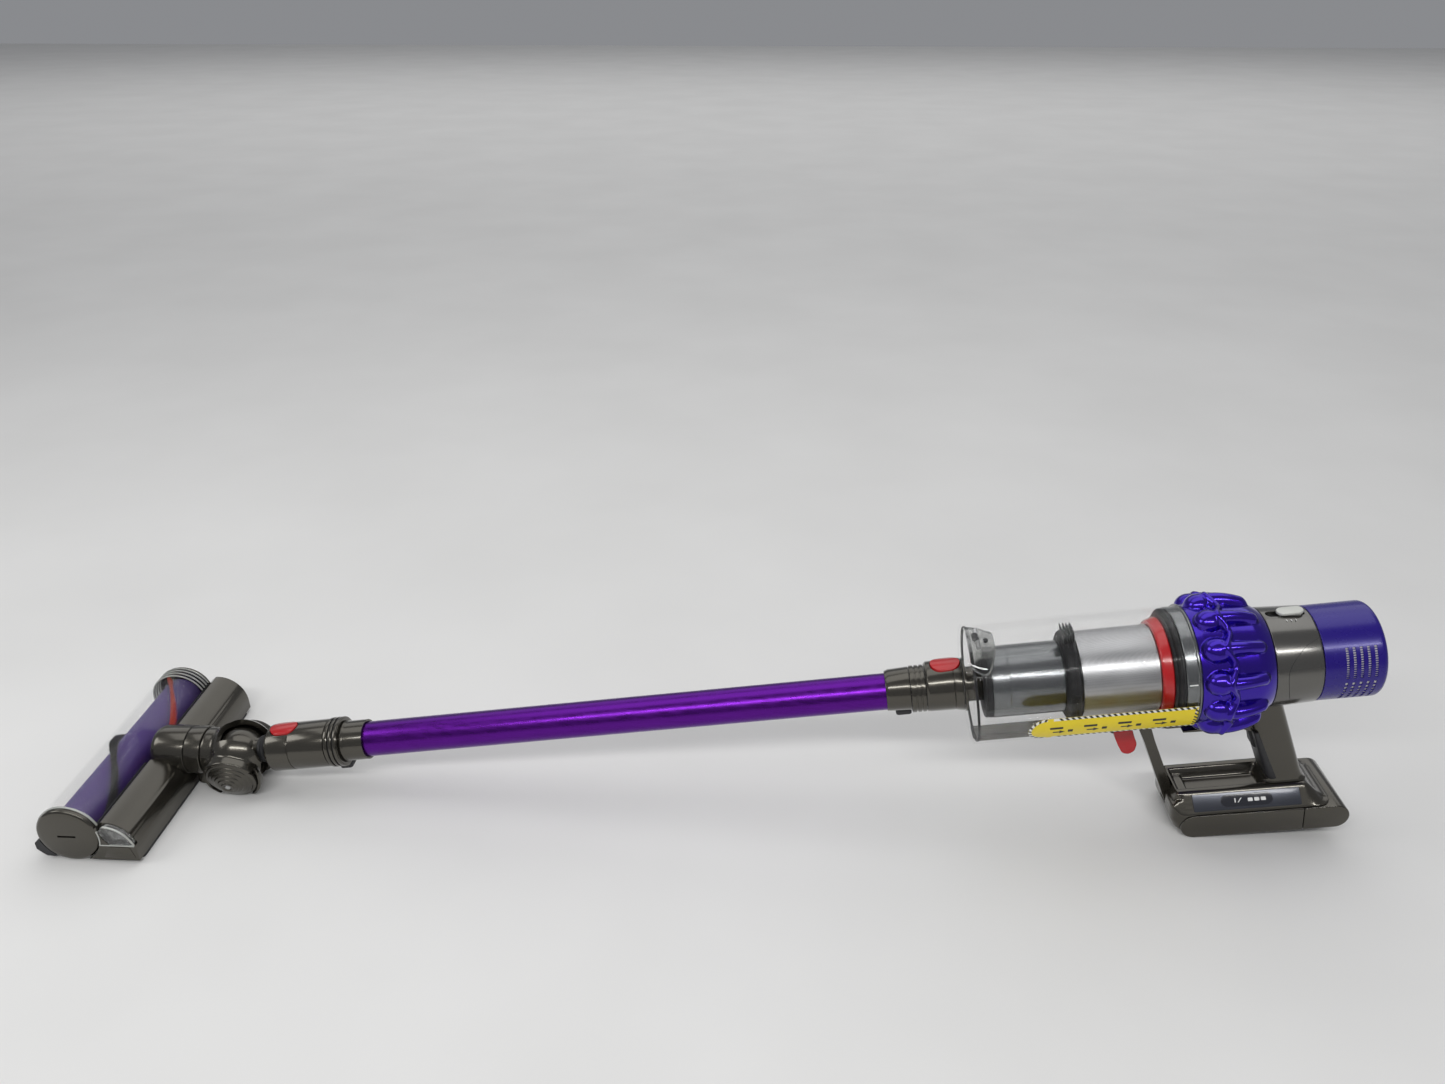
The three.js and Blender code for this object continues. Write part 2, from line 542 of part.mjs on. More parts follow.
part(body, 'wiper_skirt', wiperSkirt(), LOOKS.rubber);
part(body, 'shroud_mesh', ring(SHROUD.start, SHROUD.end, SHROUD.r, SHROUD.bore), LOOKS.steel);
part(body, 'red_collar', turned([
  [SHROUD.end + GAP, SHROUD.bore], [SHROUD.end + GAP, 45.5], [COLLAR_END, 48], [COLLAR_END, SHROUD.bore],
  [SHROUD.end + GAP, SHROUD.bore],
]), LOOKS.red);
part(body, 'bin_seal', turned([
  [COLLAR_END + GAP, CYCLONES.bore - 5], [COLLAR_END + GAP, 51], [SEAL_END - 4, BIN.r - BIN.wall - GAP],
  [SEAL_END, BIN.r - BIN.wall - GAP], [SEAL_END, CYCLONES.bore - 5], [COLLAR_END + GAP, CYCLONES.bore - 5],
]), LOOKS.rubber);
part(body, 'bin_rim', turned([
  [SEAL_END + GAP, CYCLONES.bore], [SEAL_END + GAP, RIM.r], [BIN.back + GAP, RIM.r],
  [BIN.back + GAP, RIM.flangeR], [RIM.flangeEnd, RIM.flangeR], [RIM.flangeEnd + 0.5, 56.6],
  [CYCLONES.start - GAP, 56.6], [CYCLONES.start - GAP, CYCLONES.bore], [SEAL_END + GAP, CYCLONES.bore],
]), LOOKS.grey);

// ---------------------------------------------------------------- cyclones, motor and filter

// The largest shape that the cyclones fill, so that pieces below them can be cut to clear it.
const cycloneEnvelope = turned([
  [CYCLONES.start - 1, 0], [CYCLONES.start - 1, 62], [965, CYCLONE_CREST], [983, CYCLONE_CREST + 0.8],
  [1003, 64.5], [1021, 58.5], [CYCLONES.end + 1, 56], [CYCLONES.end + 1, 0],
]);

function cyclonePack() {
  const drum = turned([
    [CYCLONES.start, CYCLONES.bore], [CYCLONES.start, CYCLONES.bodyR - 1], [963, CYCLONES.bodyR],
    [1000, 57.5], [1018, 54.5], [CYCLONES.end, 49], [CYCLONES.end, CYCLONES.bore],
    [CYCLONES.start, CYCLONES.bore],
  ]);
  const pieces = [drum];
  for (let i = 0; i < CYCLONES.count; i += 1) {
    const angle = radians(15 + 360 / CYCLONES.count * i);
    const dome = new THREE.SphereGeometry(11, 6, 4).rotateX(Math.PI / 2).scale(0.95, 0.9, 1);
    pieces.push(dome.translate(973, 0, 58).rotateX(angle));
    const ridge = new THREE.CapsuleGeometry(6.2, 26, 1, 6).rotateZ(Math.PI / 2).rotateY(radians(11));
    pieces.push(ridge.translate(999, 0, 55.8).rotateX(angle));
  }
  const inside = rod(CYCLONES.start - 1, CYCLONES.end + 1, CYCLONES.bore);
  return cut(join(...pieces), inside);
}

part(body, 'cyclone_pack', cyclonePack(), LOOKS.violet);

const motorStart = CYCLONES.end + GAP;
const motorEnd = MOTOR_HOUSING.end - GAP;
const SLIDER = { start: 1040.5, end: 1065, halfWidth: 6 };

function motorHousing() {
  const inner = MOTOR_HOUSING.backR - MOTOR_HOUSING.wall;
  const shell = turned([
    [motorStart, inner], [motorStart, MOTOR_HOUSING.frontR], [motorEnd, MOTOR_HOUSING.backR],
    [motorEnd, inner], [1043, inner], [1043, 28.6], [1040, 28.6], [1040, inner], [motorStart, inner],
  ]);
  return cut(shell, block(1033, 1063, -4, 4, 30, 60));
}

part(body, 'motor_housing', motorHousing(), LOOKS.nickel);
part(body, 'power_slider', join(
  upZ(pill(SLIDER.start, SLIDER.end, 0, SLIDER.halfWidth), 48, 50.2),
  block(SLIDER.start + 3.5, SLIDER.end - 3, -3.6, 3.6, 43.3, 48.5)), LOOKS.silver);
part(body, 'vacuum_motor', turned([
  [1006, 0], [1006, 2], [1014, 2], [1014, 24], [1016, 28], [1052, 28], [1056, 20], [1060, 20], [1060, 0],
], 20), LOOKS.steel);

function impeller() {
  const hub = turned([
    [998, 2.3], [998, 7], [1004, 12], [1011, 24], [1012.5, 24], [1012.5, 2.3], [998, 2.3],
  ], 20);
  const blades = Array.from({ length: 9 }, (_, i) => {
    const blade = acrossY(outline([[998.5, 5], [998.5, 17], [1009, 24], [1011.5, 23.5], [1006, 10]]), -0.6, 0.6);
    return blade.rotateX(i * 2 * Math.PI / 9);
  });
  return cut(join(hub, ...blades), rod(990, 1020, 2.3, 20));
}

part(body, 'impeller', impeller(), LOOKS.dark);

// The vents on each side of the filter, as short arcs cut through its wall.
function ventArc(s, from, to) {
  const centre = { x: 0, z: 0 };
  const outside = arc(centre, FILTER.r + 2, from, to, 2);
  const inside = arc(centre, FILTER.r - 5, to, from, 2);
  const shape = outline([...outside, ...inside]);
  return alongX(shape, s, s + 2.6);
}

function filterCap() {
  const inner = FILTER.r - FILTER.wall;
  const cup = turned([
    [MOTOR_HOUSING.end + GAP, inner], [MOTOR_HOUSING.end + GAP, FILTER.r], [FILTER.end - 5, FILTER.r],
    [FILTER.end - 2, FILTER.r - 1.2], [FILTER.end - 0.5, FILTER.r - 4], [FILTER.end, FILTER.r - 8],
    [FILTER.end, 0], [FILTER.end - 3, 0], [FILTER.end - 3, inner], [MOTOR_HOUSING.end + GAP, inner],
  ]);
  const vents = [];
  for (let column = 0; column < FILTER.ventColumns; column += 1) {
    const s = FILTER.ventStart + column * FILTER.ventStep - 1.3;
    vents.push(ventArc(s, 90 + 53, 90 + 91), ventArc(s, 90 - 91, 90 - 53));
  }
  return cut(cup, ...vents);
}

function pleatedFilter() {
  const pleats = 18;
  const star = Array.from({ length: pleats * 2 }, (_, i) => {
    const angle = i * Math.PI / pleats;
    const r = i % 2 ? 34 : 39.5;
    return [r * Math.cos(angle), r * Math.sin(angle)];
  });
  const shape = outline(star);
  shape.holes.push(new THREE.Path().absarc(0, 0, 24, 0, 2 * Math.PI));
  return alongX(shape, MOTOR_HOUSING.end + 4, FILTER.end - 3 - GAP);
}

part(body, 'filter_cap', filterCap(), LOOKS.filter);
part(body, 'filter_media', pleatedFilter(), LOOKS.cloth);

// ---------------------------------------------------------------- rail, strut, handle and base

function binRail() {
  const bar = outline([
    [RAIL.front, -50], [RAIL.front, -61], [RAIL.front + 6, RAIL.bottom], [925, RAIL.bottom],
    [945, RAIL.rearBottom], [RAIL.back, RAIL.rearBottom], [RAIL.back, -50],
  ]);
  return cut(acrossY(bar, -RAIL.halfWidth, RAIL.halfWidth), rod(750, 965, BIN.r + GAP));
}

part(body, 'bin_rail', cut(binRail(), block(915.5, 929.8, -7.4, 7.4, -80, -62.2)), LOOKS.nickel);
part(body, 'bin_release_lever', acrossY(outline([
  [897, -65], [911.5, -65], [913, -82], [916, -91], [913, -101], [908, -104], [903, -101], [900, -88],
]), -6.5, 6.5), LOOKS.red);

// Slants a shape so that its X grows as it goes down, as the grip does.
function slanted(geometry) {
  const shear = new THREE.Matrix4().set(1, 0, -HANDLE.slope, HANDLE.front + HANDLE.slope * HANDLE.top,
    0, 1, 0, 0, 0, 0, 1, 0, 0, 0, 0, 1);
  return geometry.applyMatrix4(shear);
}

const slabOutline = (grow) => {
  const shape = new THREE.Shape();
  shape.absarc(SLAB.back, SLAB.w, SLAB.r + grow, -Math.PI / 2, Math.PI / 2);
  shape.absarc(SLAB.front, SLAB.w, SLAB.r + grow, Math.PI / 2, Math.PI * 1.5);
  return shape;
};

function handleShell() {
  const grip = slanted(upZ(roundedBox(0, HANDLE.depth, -HANDLE.halfWidth, HANDLE.halfWidth, HANDLE.corner),
    BASE.ridge + GAP, -30));
  const spine = acrossY(outline([[RAIL.back + GAP, -71.2], [985, -70], [1030, -45], [1040, -90],
    [1026, -80], [1016, SPINE_BOTTOM], [RAIL.back + GAP, SPINE_BOTTOM]]), -12, 12);
  const recess = slanted(
    block(-6, 23, -TRIGGER.halfWidth, TRIGGER.halfWidth, TRIGGER.bottom - GAP, TRIGGER.top + GAP));
  return cut(join(grip, spine), cycloneEnvelope,
    turned([[1020, 0], [1020, MOTOR_HOUSING.frontR + 0.9], [1080, MOTOR_HOUSING.backR - 0.2], [1080, 0]]),
    recess);
}

part(body, 'handle_shell', handleShell(), LOOKS.nickel);
part(body, 'trigger', slanted(block(-TRIGGER.reach, 10, -TRIGGER.halfWidth + GAP, TRIGGER.halfWidth - GAP,
  TRIGGER.bottom, TRIGGER.top)), LOOKS.dark);
const springHeight = (TRIGGER.top + TRIGGER.bottom) / 2;
const springStart = HANDLE.front - HANDLE.slope * (springHeight - HANDLE.top) + 10 + 3 * GAP;
part(body, 'trigger_spring',
  coil(0, 0, 0, 10, 3.2, 0.5, 3).rotateY(Math.PI / 2).translate(springStart, 0, springHeight), LOOKS.steel);

part(body, 'front_strut', acrossY(outline([
  [916, -62.6], [929, -62.6], [933.8, -83], [953.5, -150], [953.5, -157], [946, -166], [923, -83],
]), -7, 7), LOOKS.nickel);

function handleBase() {
  const section = outline([[-36.5, SLAB.w + SLAB.r + GAP], [36.5, SLAB.w + SLAB.r + GAP], [30, -155],
    [BASE.ridgeHalf, BASE.ridge], [-BASE.ridgeHalf, BASE.ridge], [-30, -155]]);
  const plan = upZ(roundedBox(BASE.front, BASE.back, -37, 37, 20), -190, -100);
  const top = common(alongX(section, BASE.front, BASE.back), plan);
  const noseSide = outline([[947, -140], [958, -140], [958, -180], [954, -180], [946, -166]]);
  const nose = common(acrossY(noseSide, -30, 30), plan);
  const trough = upZ(roundedBox(957, 1036, -BASE.troughHalf, BASE.troughHalf, 8), BASE.troughFloor, -100);
  const gripFoot = slanted(block(-GAP, HANDLE.depth + GAP, -HANDLE.halfWidth - GAP, HANDLE.halfWidth + GAP,
    BASE.ridge, -120));
  const strutSocket = acrossY(outline([
    [930, -70], [940, -70], [953.9, -149], [953.9, -157.3], [946.2, -166.5], [930, -120],
  ]), -7.4, 7.4);
  const rearSlope = acrossY(outline([[1076, -139], [1102, -139], [1102, -154]]), -50, 50);
  return cut(join(top, nose), trough, gripFoot, strutSocket, rearSlope, acrossY(slabOutline(GAP), -45, 45));
}

const displayTilt = Math.atan2(BASE.ridge + 155, 30 - BASE.ridgeHalf);
const displayFrame = (geometry) => geometry.rotateX(displayTilt)
  .translate(0, -(30 + BASE.ridgeHalf) / 2, (BASE.ridge - 155) / 2);
const displayPocket = displayFrame(upZ(pill(DISPLAY.start, DISPLAY.end, 0, DISPLAY.width / 2), -1.6, 5));

part(body, 'handle_base', cut(handleBase(), displayPocket), LOOKS.nickel);
part(body, 'display_lens', displayFrame(
  upZ(pill(DISPLAY.start + GAP, DISPLAY.end - GAP, 0, DISPLAY.width / 2 - GAP), -1.3, 0.3)), LOOKS.dark);

const slab = acrossY(slabOutline(0), -SLAB.halfWidth, SLAB.halfWidth);
const seamHalf = GAP / 2;
const slabFront = block(900, SLAB.seam - seamHalf, -50, 50, -200, -100);
const slabEnd = block(SLAB.seam + seamHalf, 1200, -50, 50, -200, -100);
part(body, 'battery_pack', common(slab, slabFront), LOOKS.nickel);
part(body, 'battery_end_cover', common(slab, slabEnd), LOOKS.nickel);

// ---------------------------------------------------------------- the whole vacuum

body.position.set(0, 0, NECK_Z);
body.rotation.y = -TILT;

const vacuum = new THREE.Group();
vacuum.add(head, body);
vacuum.updateMatrixWorld(true);

// The frame's origin is on the floor below the middle of the vacuum's length.
const reach = new THREE.Box3().setFromObject(vacuum, true);
vacuum.position.x = -(reach.min.x + reach.max.x) / 2;

export default vacuum;
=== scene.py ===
import json
import math

import bmesh
import bpy
from mathutils import Matrix, Vector, noise


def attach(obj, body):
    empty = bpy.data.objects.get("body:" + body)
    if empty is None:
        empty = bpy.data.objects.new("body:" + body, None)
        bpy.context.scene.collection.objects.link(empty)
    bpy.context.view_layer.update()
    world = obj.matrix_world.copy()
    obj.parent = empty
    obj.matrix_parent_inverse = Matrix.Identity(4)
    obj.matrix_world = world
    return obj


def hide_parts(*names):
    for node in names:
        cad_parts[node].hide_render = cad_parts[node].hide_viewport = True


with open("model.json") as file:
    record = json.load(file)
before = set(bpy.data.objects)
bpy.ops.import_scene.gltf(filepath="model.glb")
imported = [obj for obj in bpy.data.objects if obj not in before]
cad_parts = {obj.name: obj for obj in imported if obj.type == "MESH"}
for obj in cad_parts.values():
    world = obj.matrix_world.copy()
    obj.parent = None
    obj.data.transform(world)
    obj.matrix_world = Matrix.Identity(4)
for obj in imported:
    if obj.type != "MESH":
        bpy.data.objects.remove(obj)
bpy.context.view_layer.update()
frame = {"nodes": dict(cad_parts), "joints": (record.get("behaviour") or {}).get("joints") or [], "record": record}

# ------------------------------------------------------------------ frames and sizes (millimetres)

MM = 0.001
joints = {joint["name"]: joint for joint in frame["joints"]}
neck = Vector(joints["neck_pitch"]["pos_m"])
axis = Vector(joints["filter_twist"]["axis"]).normalized()
across = Vector((0, 1, 0))

# The body's own frame has X along the wand from the neck joint. The head's stands on the floor below it.
TO_METRES = Matrix.Scale(MM, 4)
BODY_TURN = Matrix((axis, across, axis.cross(across))).transposed().to_4x4()
BODY = Matrix.Translation(neck) @ BODY_TURN @ TO_METRES
HEAD = Matrix.Translation((neck.x, 0, 0)) @ TO_METRES

COVER_X = -119
COVER_Z = 31
COVER_R = 31
COVER_WALL = 2.2
HEAD_HALF = 125
CHAMBER_HALF = 117
ROLLER_CORE = 20
ROLLER_TIP = 28
STRIP_TWIST = 1.5
NECK_Z = 41
WHEEL_X = -2
WHEEL_R = 26
WHEEL_RIM_END = 29.8
CAMBER = math.radians(15)
AXLE_Z = WHEEL_R * math.cos(CAMBER) + WHEEL_RIM_END * math.sin(CAMBER)
WAND_R = 18
BIN_R = 58.5
CYCLONES = 12
CYCLONE_START = 960
CYCLONE_END = 1027.5
FILTER_R = 45
GRIP_SLOPE = 0.28
GRIP_FRONT = 1022
GRIP_TOP = -70.5
GRIP_DEPTH = 34.5
SLAB_W = -172
SLAB_R = 13.5
SLAB_FRONT = 966.5
SLAB_BACK = 1099.5
SLAB_SEAM = 1070
SLAB_HALF = 37.5
RIDGE_W = -140
BASE_FRONT = 945.3
BASE_BACK = 1097.6
BASE_HALF = 36.6
BASE_CORNER = 13
BASE_SIDE_SLOPE = 1.25
STICKER_START = 803
STICKER_END = 956
STICKER_HALF = 17.5
STICKER_ANGLE = 113.5
VENT_COLUMNS = 5
VENT_START = 1088.6
VENT_STEP = 6.2


# ------------------------------------------------------------------ material helpers

def new_material(name):
    """A node material; gives its tree, its shader and the object's own coordinates."""
    material = bpy.data.materials.new(name)
    material.use_nodes = True
    tree = material.node_tree
    shader = tree.nodes["Principled BSDF"]
    where = tree.nodes.new("ShaderNodeTexCoord")
    return material, tree, shader, where.outputs["Object"]


def add_noise(tree, where, scale, detail=3.0, stretch=None):
    if stretch:
        mapping = tree.nodes.new("ShaderNodeMapping")
        mapping.inputs["Scale"].default_value = stretch
        tree.links.new(where, mapping.inputs["Vector"])
        where = mapping.outputs["Vector"]
    texture = tree.nodes.new("ShaderNodeTexNoise")
    texture.inputs["Scale"].default_value = scale
    texture.inputs["Detail"].default_value = detail
    tree.links.new(where, texture.inputs["Vector"])
    return texture.outputs["Fac"]


def add_range(tree, value, low, high):
    """Spreads the middle of a noise over low to high."""
    node = tree.nodes.new("ShaderNodeMapRange")
    node.inputs["From Min"].default_value = 0.3
    node.inputs["From Max"].default_value = 0.7
    node.inputs["To Min"].default_value = low
    node.inputs["To Max"].default_value = high
    tree.links.new(value, node.inputs["Value"])
    return node.outputs["Result"]


def add_mix(tree, factor, first, second):
    node = tree.nodes.new("ShaderNodeMix")
    node.data_type = "RGBA"
    tree.links.new(factor, node.inputs["Factor"])
    node.inputs["A"].default_value = (*first, 1)
    node.inputs["B"].default_value = (*second, 1)
    return node.outputs["Result"]


def add_bump(tree, shader, height, strength, distance):
    node = tree.nodes.new("ShaderNodeBump")
    node.inputs["Strength"].default_value = strength
    node.inputs["Distance"].default_value = distance
    tree.links.new(height, node.inputs["Height"])
    tree.links.new(node.outputs["Normal"], shader.inputs["Normal"])


def moulded(name, colour, roughness, metallic=0.0, coat=0.0, vary=0.08, grain=900, grain_strength=0.05):
    """Moulded or lacquered plastic: a little colour drift, smudges in the gloss and a fine grain."""
    material, tree, shader, where = new_material(name)
    darker = tuple(c * (1 - vary) for c in colour)
    lighter = tuple(min(1, c * (1 + vary)) for c in colour)
    drift = add_range(tree, add_noise(tree, where, 22, 4), 0, 1)
    tree.links.new(add_mix(tree, drift, darker, lighter), shader.inputs["Base Color"])
    smudge = add_range(tree, add_noise(tree, where, 60, 5), roughness * (1 - vary),
                       roughness * (1 + 3 * vary))
    tree.links.new(smudge, shader.inputs["Roughness"])
    add_bump(tree, shader, add_noise(tree, where, grain, 2), grain_strength, 0.0002)
    shader.inputs["Metallic"].default_value = metallic
    shader.inputs["Coat Weight"].default_value = coat
    shader.inputs["Coat Roughness"].default_value = 0.08
    return material


def clear_plastic(name, colour, alpha, coat=1.0):
    """Polished clear plastic with faint handling marks, mostly see-through."""
    material, tree, shader, where = new_material(name)
    marks = add_range(tree, add_noise(tree, where, 140, 6, (1, 1, 4)), 0.03, 0.12)
    tree.links.new(marks, shader.inputs["Roughness"])
    tint = add_range(tree, add_noise(tree, where, 12, 2), 0, 1)
    dim = tuple(c * 0.94 for c in colour)
    tree.links.new(add_mix(tree, tint, dim, colour), shader.inputs["Base Color"])
    shader.inputs["IOR"].default_value = 1.5
    shader.inputs["Transmission Weight"].default_value = 1.0
    shader.inputs["Alpha"].default_value = alpha
    shader.inputs["Coat Weight"].default_value = coat
    shader.inputs["Coat Roughness"].default_value = 0.03
    return material


def brushed(name, colour, roughness, scale, stretch, strength):
    """Metal with a lay of fine lines along one direction."""
    material, tree, shader, where = new_material(name)
    lines = add_noise(tree, where, scale, 2, stretch)
    darker = tuple(c * 0.85 for c in colour)
    tree.links.new(add_mix(tree, add_range(tree, lines, 0, 1), darker, colour), shader.inputs["Base Color"])
    tree.links.new(add_range(tree, lines, roughness * 0.85, roughness * 1.25), shader.inputs["Roughness"])
    add_bump(tree, shader, lines, strength, 0.0001)
    shader.inputs["Metallic"].default_value = 1.0
    return material


def perforated(name, colour):
    """Steel sheet with a close pattern of fine round holes."""
    material, tree, shader, where = new_material(name)
    cells = tree.nodes.new("ShaderNodeTexVoronoi")
    cells.inputs["Scale"].default_value = 1150
    cells.inputs["Randomness"].default_value = 0.15
    tree.links.new(where, cells.inputs["Vector"])
    holes = tree.nodes.new("ShaderNodeMapRange")
    holes.inputs["From Min"].default_value = 0.18
    holes.inputs["From Max"].default_value = 0.34
    tree.links.new(cells.outputs["Distance"], holes.inputs["Value"])
    dark = tuple(c * 0.45 for c in colour)
    tree.links.new(add_mix(tree, holes.outputs["Result"], dark, colour), shader.inputs["Base Color"])
    tree.links.new(add_range(tree, add_noise(tree, where, 40, 3), 0.28, 0.42), shader.inputs["Roughness"])
    add_bump(tree, shader, holes.outputs["Result"], 0.25, 0.0002)
    shader.inputs["Metallic"].default_value = 0.9
    return material


def velvety(name, colour, roughness, grain):
    """Fibres or felted surface: a strong fine grain and a soft sheen."""
    material, tree, shader, where = new_material(name)
    fibres = add_noise(tree, where, grain, 4)
    darker = tuple(c * 0.6 for c in colour)
    tree.links.new(add_mix(tree, add_range(tree, fibres, 0, 1), darker, colour),
                   shader.inputs["Base Color"])
    tree.links.new(add_range(tree, fibres, roughness * 0.9, min(1, roughness * 1.1)),
                   shader.inputs["Roughness"])
    add_bump(tree, shader, fibres, 0.35, 0.0004)
    shader.inputs["Sheen Weight"].default_value = 0.08
    shader.inputs["Sheen Roughness"].default_value = 0.4
    return material


LOOKS = {
    "nickel_plastic": moulded("nickel_lacquer", (0.082, 0.076, 0.063), 0.2, 0.85, 0.4, 0.03, 700, 0.008),
    "dark_plastic": moulded("dark_plastic", (0.016, 0.016, 0.018), 0.4, 0.0, 0.0, 0.2, 1400, 0.06),
    "clear_plastic": clear_plastic("clear_polycarbonate", (0.95, 0.96, 0.94), 0.05, 0.5),
    "purple_roller": velvety("purple_roller_sleeve", (0.052, 0.018, 0.165), 0.6, 900),
    "black_bristle": velvety("black_filament", (0.012, 0.011, 0.01), 0.7, 3000),
    "red_bristle": velvety("red_filament", (0.55, 0.035, 0.01), 0.55, 3000),
    "rubber": moulded("black_rubber", (0.01, 0.01, 0.011), 0.55, 0.0, 0.0, 0.2, 1600, 0.15),
    "steel": brushed("machined_steel", (0.5, 0.5, 0.5), 0.3, 300, (1, 1, 6), 0.1),
    "red_plastic": moulded("red_gloss_plastic", (0.44, 0.005, 0.008), 0.24, 0.0, 0.3, 0.04),
    "purple_anodised": brushed("purple_anodised_tube", (0.12, 0.014, 0.28), 0.28, 420, (0.12, 1, 1), 0.03),
    "grey_metallic": moulded("grey_metallic_lacquer", (0.18, 0.187, 0.19), 0.24, 0.9, 0.3, 0.015, 700,
                             0.004),
    "steel_mesh": perforated("perforated_steel", (0.44, 0.44, 0.445)),
    "violet_metallic": moulded("violet_metallic_lacquer", (0.034, 0.006, 0.36), 0.2, 0.9, 0.45, 0.03, 700,
                               0.006),
    "silver_plastic": moulded("pale_silver_plastic", (0.55, 0.56, 0.52), 0.35, 0.2),
    "filter_blue": moulded("deep_blue_plastic", (0.012, 0.001, 0.19), 0.26, 0.15, 0.1, 0.04, 800, 0.015),
    "filter_cloth": velvety("filter_paper", (0.82, 0.8, 0.75), 0.85, 1200),
    "display_glass": moulded("smoked_lens", (0.012, 0.013, 0.02), 0.12, 0.0, 0.8, 0.1, 900, 0.01),
}
YELLOW = moulded("yellow_sticker", (0.85, 0.66, 0.004), 0.4, 0.0, 0.1, 0.03)
INK = moulded("black_ink", (0.012, 0.012, 0.012), 0.45)
WHITE_INK = moulded("white_ink", (0.8, 0.8, 0.78), 0.45)
PANEL = moulded("grey_panel", (0.046, 0.05, 0.064), 0.24, 0.5, 0.4, 0.03, 800, 0.008)
CLEAR_BLOCK = clear_plastic("clear_thick_moulding", (0.6, 0.62, 0.58), 0.62)
HINGE_CLEAR = clear_plastic("clear_hinge_moulding", (0.3, 0.31, 0.29), 0.72, 0.9)
# Painted highlight: a pale opaque gloss laid on the edges, ribs and rims of clear parts for the bright glints they
# catch.
CLEAR_EDGE_HIGHLIGHT = moulded("clear_edge_painted_highlight", (0.42, 0.43, 0.4), 0.14, 0.2, 1.0, 0.12)
HOUSING_GREY = moulded("housing_lacquer", (0.14, 0.136, 0.126), 0.2, 0.85, 0.4, 0.03, 700, 0.006)
# Near black for dark joint lines on the housing, and for painted shade in the collar's grooves.
SEAM_AND_SHADE = moulded("seam_shadow", (0.008, 0.008, 0.008), 0.7)


# ------------------------------------------------------------------ shapes, each as (points, faces)

def rounded(points, radius, steps=4, closed=True):
    """A flat outline with its corners rounded; radius is how far each corner is cut back."""
    out = []
    count = len(points)
    for i, corner in enumerate(points):
        if not closed and i in (0, count - 1):
            out.append(tuple(corner))
            continue
        here = Vector(corner[:2])
        before = Vector(points[i - 1][:2]) - here
        after = Vector(points[(i + 1) % count][:2]) - here
        straight = min(before.length, after.length) > 1e-6 and (
            before.normalized().dot(after.normalized()) < -0.985)
        if straight or min(before.length, after.length) < 1e-6:
            out.append(tuple(corner))
            continue
        cut = min(radius, before.length * 0.45, after.length * 0.45)
        start = here + before.normalized() * cut
        end = here + after.normalized() * cut
        lift = corner[2:] if len(corner) > 2 else ()
        for k in range(steps + 1):
            t = k / steps
            q = start * (1 - t) ** 2 + here * 2 * t * (1 - t) + end * t * t
            out.append((q.x, q.y, *lift))
    return out


def lathe(profile, segments=96):
    """A closed outline of (x, radius) turned about X. A third number lifts that ring off the axis."""
    count = len(profile)
    points = []
    for i in range(segments):
        angle = 2 * math.pi * i / segments
        for x, r, *lift in profile:
            points.append((x, r * math.sin(angle), r * math.cos(angle) + sum(lift)))
    faces = []
    for i in range(segments):
        j = (i + 1) % segments
        for k in range(count):
            n = (k + 1) % count
            faces.append((i * count + k, j * count + k, j * count + n, i * count + n))
    return points, faces


def tube(x0, x1, outer, inner, edge=0.6, segments=96):
    return lathe(rounded([(x0, inner), (x0, outer), (x1, outer), (x1, inner)], edge), segments)


def solid_rod(x0, x1, radius, edge=0.6, segments=64):
    return lathe([(x0, 0), *rounded([(x0, 0), (x0, radius), (x1, radius), (x1, 0)], edge,
                                    closed=False)[1:]], segments)


def loft(rings):
    """Closed rings with the same number of points, skinned in order and closed at both ends."""
    count = len(rings[0])
    points = [p for ring in rings for p in ring]
    faces = []
    for i in range(len(rings) - 1):
        for k in range(count):
            n = (k + 1) % count
            faces.append((i * count + k, (i + 1) * count + k, (i + 1) * count + n, i * count + n))
    faces.append(tuple(range(count)))
    faces.append(tuple(reversed(range((len(rings) - 1) * count, len(rings) * count))))
    return points, faces


def prism_y(outline, y0, y1):
    """An (x, z) outline run along Y."""
    return loft([[(x, y, z) for x, z in outline] for y in (y0, y1)])


def prism_z(outline, z0, z1):
    """An (x, y) outline run along Z."""
    return loft([[(x, y, z) for x, y in outline] for z in (z0, z1)])


def block(x0, x1, y0, y1, z0, z1):
    return prism_z([(x0, y0), (x1, y0), (x1, y1), (x0, y1)], z0, z1)


def arc(cx, cy, radius, start, end, steps):
    angles = [math.radians(start + (end - start) * i / steps) for i in range(steps + 1)]
    return [(cx + radius * math.cos(a), cy + radius * math.sin(a)) for a in angles]


def pill_outline(x0, x1, half, steps=12):
    return arc(x1 - half, 0, half, -90, 90, steps) + arc(x0 + half, 0, half, 90, 270, steps)


def box_outline(x0, x1, y0, y1, corner, steps=8):
    return (arc(x1 - corner, y0 + corner, corner, -90, 0, steps)
            + arc(x1 - corner, y1 - corner, corner, 0, 90, steps)
            + arc(x0 + corner, y1 - corner, corner, 90, 180, steps)
            + arc(x0 + corner, y0 + corner, corner, 180, 270, steps))


def joined(*shapes):
    points = []
    faces = []
    for shape_points, shape_faces in shapes:
        base = len(points)
        points += shape_points
        faces += [tuple(base + i for i in face) for face in shape_faces]
    return points, faces


def moved(shape, matrix):
    return [tuple(matrix @ Vector(p)) for p in shape[0]], shape[1]


def turned(shape, degrees, about="X"):
    return moved(shape, Matrix.Rotation(math.radians(degrees), 4, about))


def shifted(shape, x=0, y=0, z=0):
    return moved(shape, Matrix.Translation((x, y, z)))


def along_y(shape, x=0, z=0):
    """A shape made about the X axis, stood along Y at (x, z)."""
    return shifted(turned(shape, 90, "Z"), x, 0, z)


def slanted(shape):
    """Slants a shape as the grip slants, its X measured back from the grip's front face."""
    return [(x + GRIP_FRONT - GRIP_SLOPE * (z - GRIP_TOP), y, z) for x, y, z in shape[0]], shape[1]


